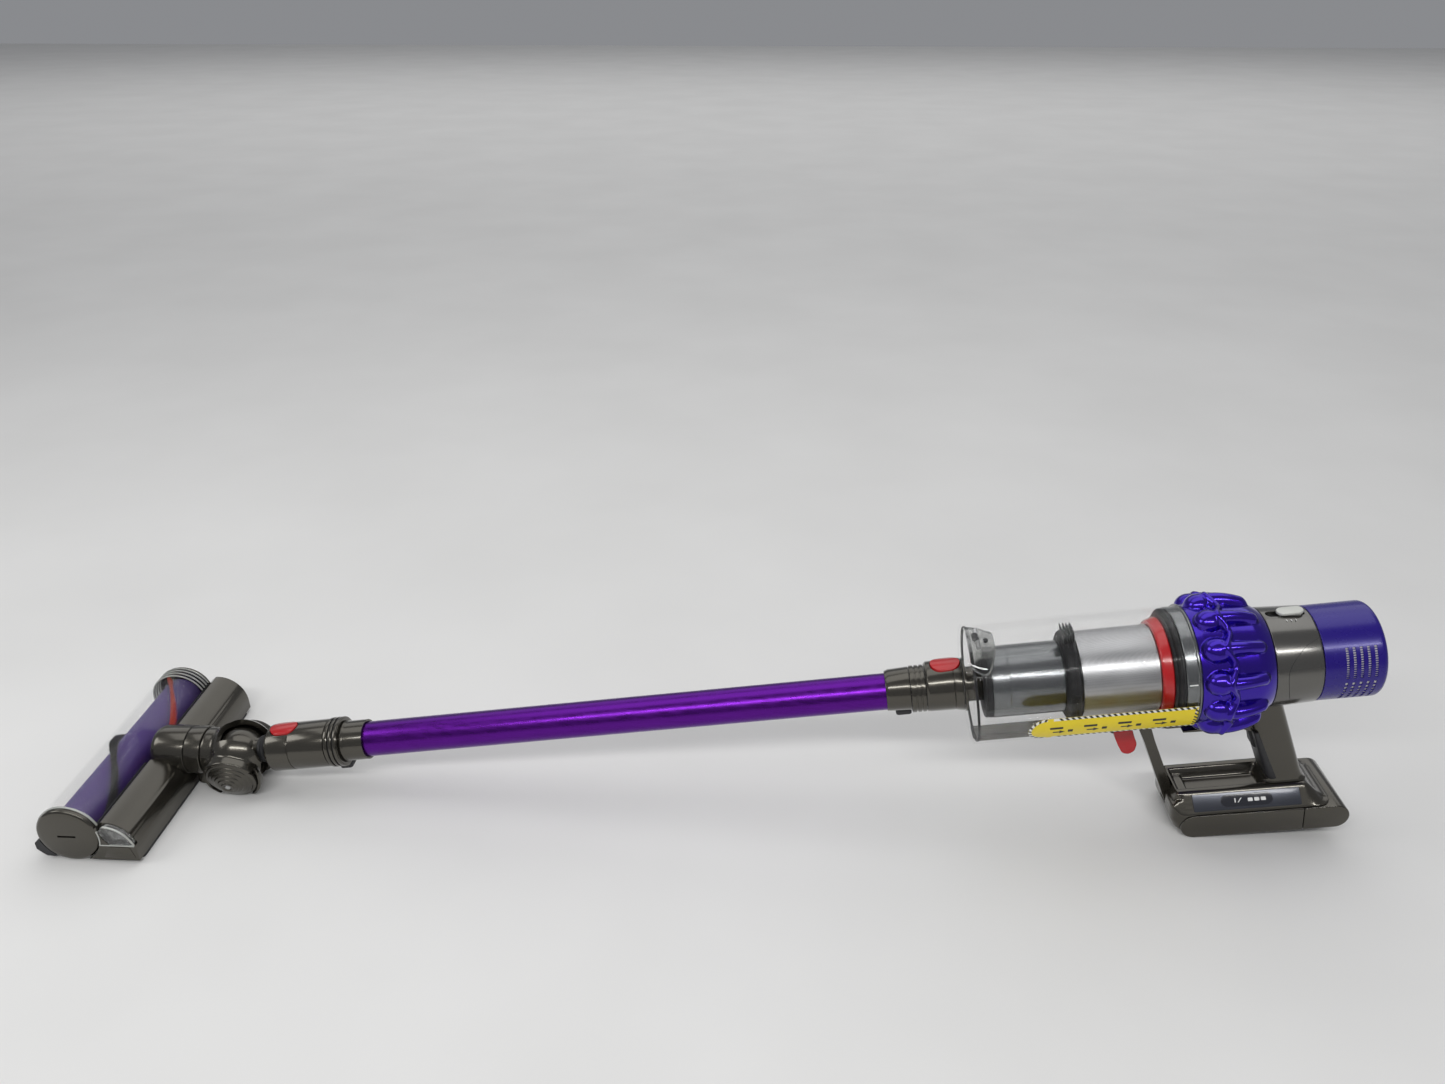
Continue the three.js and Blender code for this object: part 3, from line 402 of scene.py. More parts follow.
def crowned_pill(x0, x1, half, z0, z1, crown, steps=5):
    """A pill-shaped button with a rounded rim and a slightly domed top."""
    rings = [[(x, y, z0) for x, y in pill_outline(x0, x1, half)]]
    for i in range(steps + 1):
        t = i / steps
        inset = crown * (1 - math.cos(t * math.pi / 2))
        height = z1 - crown * (1 - math.sin(t * math.pi / 2))
        rings.append([(x, y, height) for x, y in pill_outline(x0 + inset, x1 - inset, half - inset)])
    return loft(rings)


def around(s, angle, radius):
    """A point on a cylinder about the body axis; the angle runs from the top to the near side."""
    a = math.radians(angle)
    return (s, -radius * math.sin(a), radius * math.cos(a))


# ------------------------------------------------------------------ making pieces

def temporary(shape):
    """A cutter that lives only while its piece is made."""
    mesh = bpy.data.meshes.new("cutter")
    mesh.from_pydata(shape[0], [], shape[1])
    tidy_mesh(mesh)
    cutter = bpy.data.objects.new("cutter", mesh)
    bpy.context.scene.collection.objects.link(cutter)
    return cutter


def tidy_mesh(mesh):
    bm = bmesh.new()
    bm.from_mesh(mesh)
    bmesh.ops.remove_doubles(bm, verts=bm.verts, dist=0.002)
    bmesh.ops.dissolve_degenerate(bm, edges=bm.edges, dist=0.001)
    bmesh.ops.recalc_face_normals(bm, faces=bm.faces)
    bm.to_mesh(mesh)
    bm.free()


def piece(name, shape, place, slot, body, stands_for=(), material=None, bevel=0.0, cuts=(), remesh=0.0,
          thicken=0.0, sharp=32):
    """Makes one finished piece in its frame and lets it ride on its body. Sizes are in millimetres."""
    mesh = bpy.data.meshes.new(name)
    mesh.from_pydata(shape[0], [], shape[1])
    tidy_mesh(mesh)
    thing = bpy.data.objects.new(name, mesh)
    bpy.context.scene.collection.objects.link(thing)
    if thicken:
        wall = thing.modifiers.new("wall", "SOLIDIFY")
        wall.thickness = thicken
        wall.offset = -1
    if remesh:
        blend = thing.modifiers.new("blend", "REMESH")
        blend.mode = "VOXEL"
        blend.voxel_size = remesh
        soften = thing.modifiers.new("soften", "SMOOTH")
        soften.factor = 0.6
        soften.iterations = 10
    cutters = [temporary(cut) for cut in cuts]
    for cutter in cutters:
        trim = thing.modifiers.new("trim", "BOOLEAN")
        trim.operation = "DIFFERENCE"
        trim.solver = "EXACT"
        trim.object = cutter
    if bevel:
        edge = thing.modifiers.new("edge", "BEVEL")
        edge.width = bevel
        edge.segments = 3
        edge.limit_method = "ANGLE"
        edge.angle_limit = math.radians(35)
        edge.use_clamp_overlap = True
    bpy.context.view_layer.update()
    made = bpy.data.meshes.new_from_object(thing.evaluated_get(bpy.context.evaluated_depsgraph_get()))
    thing.modifiers.clear()
    thing.data = made
    for cutter in cutters:
        bpy.data.objects.remove(cutter)
    made.transform(place)
    made.materials.clear()
    made.materials.append(material or LOOKS[slot])
    made.shade_smooth()
    made.set_sharp_from_angle(angle=math.radians(sharp))
    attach(thing, body)
    if stands_for:
        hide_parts(*stands_for)
    return thing


def body_piece(name, shape, slot, stands_for=(), body="main_body", **options):
    return piece(name, shape, BODY, slot, body, stands_for, **options)


def head_piece(name, shape, slot, stands_for=(), body="head", **options):
    return piece(name, shape, HEAD, slot, body, stands_for, **options)


# ------------------------------------------------------------------ camera, light and floor

def add_camera():
    data = bpy.data.cameras.new("camera")
    data.sensor_width = 36
    data.lens = 27.36
    data.clip_start = 0.05
    camera = bpy.data.objects.new("camera", data)
    bpy.context.scene.collection.objects.link(camera)
    yaw = -0.05
    pitch = 0.4843
    gaze = Vector((math.sin(yaw) * math.cos(pitch), math.cos(yaw) * math.cos(pitch), -math.sin(pitch)))
    spot = neck + Vector((0.5525, -0.8964, 0.7340))
    camera.matrix_world = Matrix.Translation(spot) @ gaze.to_track_quat("-Z", "Y").to_matrix().to_4x4()
    bpy.context.scene.camera = camera


def add_light(name, spot, target, size, power, colour=(1, 1, 1)):
    data = bpy.data.lights.new(name, "AREA")
    data.shape = "RECTANGLE"
    data.size = size[0]
    data.size_y = size[1]
    data.energy = power
    data.color = colour
    lamp = bpy.data.objects.new(name, data)
    bpy.context.scene.collection.objects.link(lamp)
    aim = Vector(target) - Vector(spot)
    lamp.matrix_world = Matrix.Translation(spot) @ aim.to_track_quat("-Z", "Y").to_matrix().to_4x4()


def add_studio():
    floor_material, tree, shader, where = new_material("studio_floor")
    tree.links.new(add_mix(tree, add_range(tree, add_noise(tree, where, 3, 3), 0, 1),
                           (0.72, 0.715, 0.7), (0.76, 0.755, 0.74)), shader.inputs["Base Color"])
    shader.inputs["Roughness"].default_value = 0.75
    mesh = bpy.data.meshes.new("floor")
    reach = 12.0
    mesh.from_pydata([(-reach, -reach, 0), (reach, -reach, 0), (reach, reach, 0), (-reach, reach, 0)], [],
                     [(0, 1, 2, 3)])
    mesh.materials.append(floor_material)
    floor = bpy.data.objects.new("floor", mesh)
    bpy.context.scene.collection.objects.link(floor)
    add_light("strip", (0.1, -1.55, 1.75), (0.1, 0, 0.1), (2.8, 0.16), 26)
    add_light("overhead", (0.0, 0.5, 2.3), (0.1, 0, 0.0), (3.4, 1.4), 18)
    add_light("backdrop", (0.0, 6.0, 4.2), (0.0, 6.0, 0.0), (12.0, 6.0), 190)
    add_light("side", (-1.9, -0.4, 1.3), (-0.4, 0, 0.05), (0.8, 0.8), 7)
    world = bpy.data.worlds.new("world")
    world.use_nodes = True
    world.node_tree.nodes["Background"].inputs["Color"].default_value = (0.93, 0.95, 1.0, 1)
    world.node_tree.nodes["Background"].inputs["Strength"].default_value = 0.27
    bpy.context.scene.world = world
    bpy.context.scene.view_settings.view_transform = "Standard"


add_camera()
add_studio()


# ------------------------------------------------------------------ wand and its connectors

def release_button(which, start, radius, lift):
    """A wide oval button whose face follows the round of its connector."""
    outside = shifted(tube(start - 20, start + 50, 70, radius, 0.01), 0, 0, lift)
    body_piece(f"{which}_button_cap", prism_z(pill_outline(start + 0.3, start + 28.7, 10.2), 17.2, 32),
               "red_plastic", [f"{which}_release_button"], body=f"{which}_button", cuts=[outside],
               bevel=0.9)


def button_hole(start):
    return prism_z(pill_outline(start - 0.5, start + 29.5, 10.9), 12, 40)


def button_pocket(which, start, end, top, opening):
    pocket = prism_z(pill_outline(start, end, 12.2), 12, top)
    body_piece(f"{which}_button_pocket", pocket, "dark_plastic", cuts=[prism_z(opening, 13.2, 30)])


def ribbed(ribs, base, height, start, end, inner):
    """A collar with square-ish ribs: each rib is (start, end)."""
    outline = [(start, inner), (start, base)]
    for a, b in ribs:
        outline += [(a, base), (a, height), (b, height), (b, base)]
    outline += [(end, base), (end, inner)]
    return lathe(rounded(outline, 0.4, 2))


def build_wand():
    shell = [(36, 14), (36, 21.5), (39, 24.4), (62, 24.6), (62.2, 23.9), (62.8, 23.9), (63, 24.6),
             (101.6, 24.6), (101.6, 20), (40, 20)]
    body_piece("connector_shell", lathe(rounded(shell, 0.8, 3)), "nickel_plastic", ["head_connector"],
               cuts=[button_hole(41)])
    button_pocket("lower", 39, 72, 19.6, pill_outline(40.6, 70.4, 10.8))
    release_button("lower", 41, 25.5, 0)
    collar = ribbed([(103, 106.6), (108.2, 111.4), (113, 116)], 24.2, 25.6, 102, 116.6, 20.9)
    body_piece("ribbed_collar", collar, "nickel_plastic", ["connector_collar"])
    # Painted shade: near-black rings laid in the bottoms of the grooves between the collar's ribs.
    grooves = [tube(s, s + 1.2, 24.7, 24, 0.1) for s in (106.8, 111.6)]
    body_piece("collar_groove_shade", joined(*grooves), "dark_plastic", material=SEAM_AND_SHADE)
    ledge = prism_z(box_outline(103.5, 117, -8, 8, 3), -29.3, -23.5)
    body_piece("lower_contact_cover", ledge, "dark_plastic", bevel=1.2)

    lower = [(103, 18.3), (103, 20.4), (117.6, 20.4), (118, 21.2), (120, 21.2), (120.6, 20.5),
             (141.5, 20.5), (141.5, 18.3)]
    body_piece("lower_sleeve", lathe(rounded(lower, 0.6, 3)), "nickel_plastic", ["wand_lower_fitting"])
    body_piece("wand", tube(120, 698, WAND_R, 16.4, 0.5, 128), "purple_anodised", ["wand_tube"])
    upper = [(676, 18.3), (676, 19.6, 0.6), (680, 20.4, 1.2), (699.6, 21.2, 1.4), (699.6, 18.3)]
    body_piece("upper_sleeve", lathe(rounded(upper, 0.8, 3)), "nickel_plastic", ["wand_upper_fitting"])
    ledge = prism_z(box_outline(684, 699.6, -7, 7, 3), -25.6, -19.4)
    body_piece("upper_contact_cover", ledge, "dark_plastic", bevel=1.2)
    cuff = ribbed([(700.4, 704.2), (705.6, 709), (710.4, 713.8)], 21.9, 23, 700, 714.2, 17.6)
    body_piece("ribbed_cuff", cuff, "nickel_plastic", ["wand_cuff"])

    top = [(714.6, 19), (714.6, 23.2, 0.3), (717, 24.4, 1.4), (741, 25.2, 2.0), (741.2, 24.6, 1.9),
           (741.7, 24.6, 1.9), (741.9, 25.3, 2.0), (750, 25.6, 0.8), (750, 19)]
    body_piece("top_connector", lathe(rounded(top, 0.7, 3)), "nickel_plastic", ["upper_connector"],
               cuts=[button_hole(720.5)])
    button_pocket("upper", 718.8, 750.4, 20, pill_outline(720, 750, 10.8))
    release_button("upper", 720.5, 26.3, 1.8)


# ------------------------------------------------------------------ bin and what it holds

def build_inlet_and_door():
    duct = [(750.7, 15), (750.7, 25.4), (751.2, 26), (753.3, 26), (753.4, 17), (846, 17), (846, 15)]
    body_piece("inlet", lathe(rounded(duct, 0.4, 2)), "nickel_plastic", ["inlet_duct"])
    door = [(753.9, 17.4), (753.9, 57.2), (755, 58.4), (759.4, 58.4), (759.4, 56.8), (756.6, 56.4),
            (756.2, 54), (757.8, 53.2), (757.8, 51.4), (756, 50.6), (756, 31), (758.6, 30), (758.6, 27.5),
            (756, 26.6), (756, 17.4)]
    body_piece("door", lathe(rounded(door, 0.5, 3), 128), "clear_plastic", ["bin_door"])
    body_piece("door_ring", tube(757.1, 759.4, 56.1, 53.4, 0.5), "rubber", ["door_seal"])


def build_bin():
    wall = [(759.9, 56.3), (759.9, 58.5), (762, 58.5), (762.4, 58.1), (943.4, 58.1), (943.8, 58.3),
            (944.2, 58.1), (956.6, 58.1), (956.6, 56.3)]
    body_piece("clear_bin", lathe(rounded(wall, 0.4, 3), 128), "clear_plastic", ["bin_tube"])
    shell = [(775.9, 31), (775.9, 34.2), (777, 34.5), (792, 34.5), (792.3, 34.2), (792.9, 34.2),
             (793.2, 34.5), (843.4, 34.5), (843.4, 31)]
    body_piece("dust_tube", lathe(rounded(shell, 0.3, 2)), "grey_metallic", ["fine_dust_tube"])
    seal = [(768.6, 17.4), (768.6, 33), (770, 34.3), (771.4, 33.4), (773, 34.3), (775.4, 34.1),
            (775.4, 17.4)]
    body_piece("dust_tube_seal", lathe(rounded(seal, 0.4, 3)), "rubber", ["fine_dust_seal"])
    skirt = [(843.8, 17.4), (843.8, 37), (846.4, 42.4), (850, 44.3), (852.4, 43.2), (854, 44.3),
             (855.9, 43.6), (855.9, 40), (850, 38), (850, 17.4)]
    body_piece("wiper_ring", lathe(rounded(skirt, 0.5, 3)), "rubber", ["wiper_skirt"])
    blade = [(r * math.sin(a), r * math.cos(a)) for r, sweep in ((42, range(-14, 15, 4)),
                                                                 (53.6, range(12, -13, -4)))
             for a in [math.radians(d) for d in sweep]]
    teeth = [loft([[(s + lean * (z - 42), y, z) for y, z in blade] for s in (start, start + 0.9)])
             for start, lean in ((846.2, -0.06), (848.9, -0.02), (851.6, 0.02), (854.3, 0.06))]
    body_piece("wiper_comb", joined(*teeth), "rubber", bevel=0.2)
    body_piece("shroud", tube(857.6, 927.9, 41.5, 39.5, 0.4, 128), "steel_mesh", ["shroud_mesh"])
    bands = [tube(s, s + 1.6, 41.9, 41.2, 0.25, 128) for s in (857.8, 925.8)]
    body_piece("shroud_bands", joined(*bands), "steel")
    collar = [(928.4, 39.6), (928.4, 44.6), (930, 45.6), (936.6, 47.9), (937.9, 47.4), (937.9, 39.6)]
    body_piece("collar", lathe(rounded(collar, 0.7, 3)), "red_plastic", ["red_collar"])
    seal = [(938.4, 42), (938.4, 50), (939.6, 51.6), (940.6, 50.6), (941.8, 54.4), (943, 55.2), (944, 54.2),
            (945.8, 54.8), (945.8, 42)]
    body_piece("bin_seal_ring", lathe(rounded(seal, 0.4, 3)), "rubber", ["bin_seal"])
    band = [(946.2, 47), (946.2, 55.2), (947, 55.9), (956.4, 55.9), (957, 56.6), (957, 57.9), (958.4, 57.9),
            (958.8, 57), (959.6, 56.6), (959.6, 47)]
    body_piece("rim_band", lathe(rounded(band, 0.3, 2), 128), "grey_metallic", ["bin_rim"])
    tick = [around(s, angle, r) for r in (55.7, 56.15) for s, angle in ((948, 75), (955.4, 75),
                                                                        (955.4, 76.1), (948, 76.1))]
    faces = [(0, 1, 2, 3), (7, 6, 5, 4), (0, 4, 5, 1), (1, 5, 6, 2), (2, 6, 7, 3), (3, 7, 4, 0)]
    body_piece("rim_tick", (tick, faces), "silver_plastic", material=WHITE_INK)


def hinge_block():
    """The clear hinge on the front edge of the bin: a tapering shoe that wraps the wall."""
    rings = []
    for i in range(13):
        t = i / 12
        s = 755.5 + 25 * t
        low = -7 + 10 * t * t
        high = 41 + 10 * math.sin(2.6 * t) - 20 * t ** 4
        top = 64 - 1.0 * t - 2.6 * t * t
        ring = [around(s, low + (high - low) * k / 10, 58.9) for k in range(11)]
        ring += [around(s, high - 2 - (high - low - 4) * k / 10, top - 1.6 * abs(k / 5 - 1) ** 3)
                 for k in range(11)]
        rings.append(ring)
    return loft(rings)


def build_hinge_and_rail():
    body_piece("hinge_shoe", hinge_block(), "clear_plastic", ["bin_hinge_block"], bevel=0.8,
               material=HINGE_CLEAR)
    screws = [turned(shifted(turned(solid_rod(-1.6, 1.2, radius, 0.4, 32), -90, "Y"), s, 0, 62), angle)
              for s, radius, angle in ((763.4, 3.2, 9), (763.6, 3.2, 13), (772.6, 2.2, 16))]
    for number, screw in enumerate(screws):
        body_piece(f"hinge_screw_{number}", screw, "dark_plastic")
    pin = [around(765, a, 61.4) for a in range(0, 25, 3)]
    rod_rings = [[(p[0] + 2.2 * math.cos(t), p[1], p[2] + 1.7 * math.sin(t)) for t in
                  [2 * math.pi * k / 16 for k in range(16)]] for p in pin]
    body_piece("hinge_pin", loft(rod_rings), "steel")
    rail = rounded([(757, -50), (757, -60.6), (763, -64.4), (925, -64.4), (945, -69.4), (957.8, -69.4),
                    (957.8, -50)], 1.2)
    strut_top = block(915.2, 930.2, -7.5, 7.5, -80, -62)
    body_piece("runner", prism_y(rail, -8.8, 8.8), "nickel_plastic", ["bin_rail"], bevel=0.9,
               cuts=[lathe([(740, 0), (740, 58.85), (970, 58.85), (970, 0)]), strut_top])
    lever = rounded([(894.5, -65.2), (911.4, -65.2), (914.4, -78), (917, -87), (915, -95.4), (909, -99.2),
                     (902.6, -97), (898.8, -88), (895, -76)], 2.6, 4)
    body_piece("bin_lever_tab", prism_y(lever, -6.4, 6.4), "red_plastic", ["bin_release_lever"],
               body="bin_lever", bevel=1.3)
    foot = rounded([(889.5, -65), (896.6, -65), (897.6, -71), (893, -72.5), (889.5, -69)], 1.4)
    body_piece("lever_foot", prism_y(foot, -5, 5), "dark_plastic", body="bin_lever", bevel=0.6)


def decal(outline, s, t, middle_angle, low, high):
    """A small flat mark of (s, t) points in millimetres wrapped on the bin."""
    fine = []
    for i, (a, b) in enumerate(outline):
        c, d = outline[(i + 1) % len(outline)]
        cuts = max(1, round(abs(d - b) / 4))
        fine += [(a + (c - a) * k / cuts, b + (d - b) * k / cuts) for k in range(cuts)]
    rings = []
    for r in (low, high):
        rings.append([around(s + a, middle_angle + math.degrees((t + b) / BIN_R), r) for a, b in fine])
    return loft(rings)


def build_sticker():
    rows = 12
    columns = 60
    rings = []
    for radius in (BIN_R + 0.12, BIN_R + 0.3):
        ring_rows = []
        for i in range(columns + 1):
            s = STICKER_START + (STICKER_END - STICKER_START) * (i / columns)
            bite = max(0.0, 1 - (s - STICKER_START) / STICKER_HALF)
            reach = STICKER_HALF * math.sqrt(max(0.02, 1 - bite * bite))
            ring_rows.append([around(s, STICKER_ANGLE + math.degrees(reach * (2 * k / rows - 1) / BIN_R),
                                     radius) for k in range(rows + 1)])
        rings.append(ring_rows)
    lower, upper = rings
    width = rows + 1
    points = [p for layer in (lower, upper) for row in layer for p in row]
    base = (columns + 1) * width
    faces = []
    for i in range(columns):
        for k in range(rows):
            a = i * width + k
            faces.append((base + a, base + a + 1, base + a + width + 1, base + a + width))
            faces.append((a, a + width, a + width + 1, a + 1))
        for k in (0, rows):
            a = i * width + k
            faces.append((a, base + a, base + a + width, a + width))
    for i in (0, columns):
        for k in range(rows):
            a = i * width + k
            faces.append((a, a + 1, base + a + 1, base + a))
    body_piece("sticker", (points, faces), "silver_plastic", material=YELLOW, sharp=60)
    build_sticker_marks()


def build_sticker_marks():
    """The striped border and a few plain signs, laid just above the sticker."""
    low = BIN_R + 0.26
    high = BIN_R + 0.4
    white = low + 0.09
    nose = STICKER_START + STICKER_HALF
    tail = STICKER_END - 1.6
    band = []
    marks = []

    def mark(outline, s, across_bin, top=high):
        return decal(outline, s, across_bin, STICKER_ANGLE, low, top)

    for t in (1.6 - STICKER_HALF, STICKER_HALF - 1.6):
        band.append(mark([(-64, -1.5), (64, -1.5), (64, 1.5), (-64, 1.5)], STICKER_END - 66, t, white))
        for i in range(23):
            stripe = [(-2.4, -1.5), (0.2, -1.5), (2.4, 1.5), (-0.2, 1.5)]
            marks.append(mark(stripe, STICKER_END - 123 + i * 5.4, t))
    inner = STICKER_HALF - 3
    for step in range(9):
        sweep = [math.radians(90 + 20 * step + d) for d in (0, 10, 20)]
        band.append(mark([(r * math.cos(a), r * math.sin(a))
                          for r, turn in ((inner, sweep), (STICKER_HALF, sweep[::-1])) for a in turn], nose,
                         0, white))
        lean = math.radians(97 + 20 * step)
        marks.append(mark([(r * math.cos(lean + a), r * math.sin(lean + a))
                           for r, a in ((inner, 0), (inner, 0.15), (STICKER_HALF, 0.25),
                                        (STICKER_HALF, 0.1))], nose, 0))
    band.append(mark([(-1.5, -STICKER_HALF), (1.5, -STICKER_HALF), (1.5, STICKER_HALF),
                      (-1.5, STICKER_HALF)], tail, 0, white))
    for i in range(6):
        marks.append(mark([(-1.5, -2.2), (1.5, 0.2), (1.5, 2.4), (-1.5, 0)], tail, -12.5 + i * 5))
    body_piece("sticker_band", joined(*band), "silver_plastic", material=WHITE_INK)
    body_piece("sticker_border", joined(*marks), "dark_plastic", material=INK)
    arrow = [(-5, -1), (1, -1), (1, -3), (6, 0), (1, 3), (1, 1), (-5, 1)]
    bar = [(-6, -1.6), (6, -1.6), (6, 1.6), (-6, 1.6)]
    hook = [(-2.25, -2.25), (2.25, -2.25), (2.25, 2.25), (-2.25, 2.25), (-2.25, -1.8), (1.8, -1.8),
            (1.8, 1.8), (-1.8, 1.8)]
    icons = []
    for i in range(4):
        s = STICKER_START + 26 + i * 31
        icons += [mark(bar, s, -3.5), mark(arrow, s + 2, 3.6), mark(hook, s + 13, 2.5)]
    body_piece("sticker_icons", joined(*icons), "dark_plastic", material=INK)


# ------------------------------------------------------------------ cyclones

def smooth_max(a, b, soft):
    """The larger of two heights with the corner between them rounded off."""
    h = max(soft - abs(a - b), 0.0) / soft
    return max(a, b) + h * h * soft * 0.25


def cyclone_radius(s, angle):
    """Outer radius of the cyclone ring at a place along the axis and an angle from the top, in degrees."""
    pitch = 360 / CYCLONES
    off = (angle - 15 + pitch / 2) % pitch - pitch / 2
    side = abs(off) / (pitch / 2)
    if s < 990:
        drum = 56.4 + min(s - CYCLONE_START, 6) * 0.25
    else:
        drum = 57.9 - (s - 990) * 0.13 - max(0.0, s - 1010) ** 2 * 0.018
    flat = math.radians(off) * 58
    # Finger: a long rounded ridge that arches over towards the back.
    spine = 68.2 - 0.0072 * max(0.0, s - 984) ** 2
    half_width = 7.3 - 0.03 * max(0.0, s - 984)
    run_out = max(0.0, s - 1013.5) + max(0.0, 978 - s)
    square = 1 - (flat / half_width) ** 2 - (run_out / 6.4) ** 2
    finger = spine - (spine - drum + 1) * (1 - math.sqrt(square)) if square > 0 else 0
    # Dome: a round knob at the front of each finger.
    square = 1 - (flat / 12.4) ** 2 - ((s - 974.6) / 13.4) ** 2
    dome = 55.6 + 12.4 * math.sqrt(square) if square > 0 else 0
    # Crest: a raised lip that zigzags, forward at each finger and back between two.
    sway = 0.5 - 0.5 * math.cos(math.pi * side)
    square = 1 - ((s - 981.2 - 6.6 * sway) / (5.2 - 1.2 * sway)) ** 2
    crest = 56 + (13.6 - 5.6 * sway) * math.sqrt(square) if square > 0 else 0
    radius = smooth_max(drum, crest, 1.4)
    radius = smooth_max(radius, dome, 1.4)
    return smooth_max(radius, finger, 1.2)


def build_cyclones():
    around_steps = CYCLONES * 44
    along_steps = 104
    points = []
    for i in range(along_steps + 1):
        s = CYCLONE_START + 0.1 + (CYCLONE_END - CYCLONE_START - 0.3) * i / along_steps
        for k in range(around_steps):
            angle = 360 * k / around_steps
            points.append(around(s, angle, cyclone_radius(s, angle)))
    for s in (CYCLONE_END - 0.2, CYCLONE_START + 0.1):
        points += [around(s, 360 * k / around_steps, 47.2) for k in range(around_steps)]
    faces = []
    rows = along_steps + 3
    for i in range(rows):
        j = (i + 1) % rows
        for k in range(around_steps):
            n = (k + 1) % around_steps
            faces.append((i * around_steps + k, j * around_steps + k, j * around_steps + n,
                          i * around_steps + n))
    body_piece("cyclones", (points, faces), "violet_metallic", ["cyclone_pack"], sharp=60)


# ------------------------------------------------------------------ motor housing, slider and filter

def build_motor_housing():
    shell = [(1027.9, 42.3), (1027.9, 47.2), (1028.6, 47.7), (1068.8, 45.6), (1069.6, 45.0), (1069.6, 42.3)]
    slot = prism_z(pill_outline(1031, 1066, 4.6), 30, 60)
    body_piece("motor_shell", lathe(rounded(shell, 0.5, 3), 128), "nickel_plastic", ["motor_housing"],
               cuts=[slot], material=HOUSING_GREY)
    well = prism_z(pill_outline(1030.4, 1066.4, 5.2), 41.6, 43.4)
    body_piece("slider_well", well, "dark_plastic")
    body_piece("slider_button", joined(crowned_pill(1040.7, 1064.8, 5.9, 47.9, 50.3, 1.2),
                                       block(1044.2, 1061.8, -3.5, 3.5, 43.7, 48.1)), "silver_plastic",
               ["power_slider"], body="slider")
    ticks = [shifted(block(1046 + 4 * i, 1046.5 + 4 * i, 0, 3.2 - 0.4 * i, -0.25, 0.25), 0, -12.4, 45.75)
             for i in range(3)]
    body_piece("slider_scale", joined(*ticks), "dark_plastic", material=WHITE_INK)
    for name, sign in (("near", 1), ("far", -1)):
        path = [(38, 1069.4), (46, 1057), (54, 1049.8), (68, 1040.5), (82, 1037.8), (105, 1040),
                (122, 1044)]
        body_piece(f"housing_seam_{name}", surface_line(path, sign), "dark_plastic", material=SEAM_AND_SHADE)


def surface_line(path, sign):
    """A thin dark joint line laid on the motor housing; the path gives (angle, s) points."""
    dense = []
    for i in range(len(path) - 1):
        before = path[max(i - 1, 0)]
        after = path[min(i + 2, len(path) - 1)]
        for k in range(6):
            t = k / 6
            dense.append(tuple(spline(before[c], path[i][c], path[i + 1][c], after[c], t) for c in (0, 1)))
    dense.append(path[-1])
    rings = []
    for angle, s in dense:
        radius = 47.7 - (s - 1028.6) * (2.1 / 40.2)
        ring = []
        for ds, dr in ((-0.28, -0.3), (0.28, -0.3), (0.2, 0.07), (-0.2, 0.07)):
            ring.append(around(s + ds, sign * angle, radius + dr))
        rings.append(ring)
    return loft(rings)


def spline(a, b, c, d, t):
    return 0.5 * (2 * b + (c - a) * t + (2 * a - 5 * b + 4 * c - d) * t * t
                  + (3 * b - a - 3 * c + d) * t ** 3)


def vent_here(s, angle):
    """True where the filter's wall is open: five columns of short slots in two groups on each side."""
    angle = abs((angle + 180) % 360 - 180)
    column = (s - VENT_START) / VENT_STEP
    if not 0 <= column < VENT_COLUMNS or column % 1 > 0.42:
        return False
    if 53 <= angle <= 91:
        return (angle - 53) % 2.8 < 1.9
    return 97 <= angle <= 133 and (angle - 97) % 6.4 < 5.0


def build_filter():
    lines = [1070.4, 1070.9, 1072, 1080]
    for column in range(VENT_COLUMNS):
        start = VENT_START + VENT_STEP * column
        lines += [start, start + 2.6]
    lines += [1118, 1120.6]
    edge = [(1120.6 + 5.4 * math.sin(t), 45 - 5.4 * (1 - math.cos(t))) for t in
            [math.pi / 2 * k / 7 for k in range(1, 8)]]
    profile = [(1070.4, 44.5)] + [(s, FILTER_R) for s in lines[1:]] + edge + [(1126, 30), (1126, 8)]
    slits = [a for k in range(14) for a in (53 + 2.8 * k, 54.9 + 2.8 * k)]
    slits += [a for k in range(6) for a in (97 + 6.4 * k, 102 + 6.4 * k)]
    angles = sorted({float(a) for a in range(0, 360, 4)} | {a * side % 360 for side in (1, -1)
                                                            for a in slits})
    points = [around(s, angle, r) for s, r in profile for angle in angles]
    count = len(angles)
    faces = []
    for i in range(len(profile) - 1):
        for k in range(count):
            n = (k + 1) % count
            turn = angles[n] - angles[k] + (360 if n == 0 else 0)
            middle = (angles[k] + turn / 2) % 360
            if vent_here((profile[i][0] + profile[i + 1][0]) / 2, middle) and profile[i][1] == FILTER_R:
                continue
            faces.append((i * count + k, (i + 1) * count + k, (i + 1) * count + n, i * count + n))
    faces.append(tuple((len(profile) - 1) * count + k for k in range(count)))
    body_piece("filter_cup", (points, faces), "filter_blue", ["filter_cap"], body="filter", thicken=1.1)
    body_piece("filter_sleeve", tube(1086, 1117, 43.8, 42.2, 0.3), "filter_cloth", body="filter")


# ------------------------------------------------------------------ grip, base, strut and battery

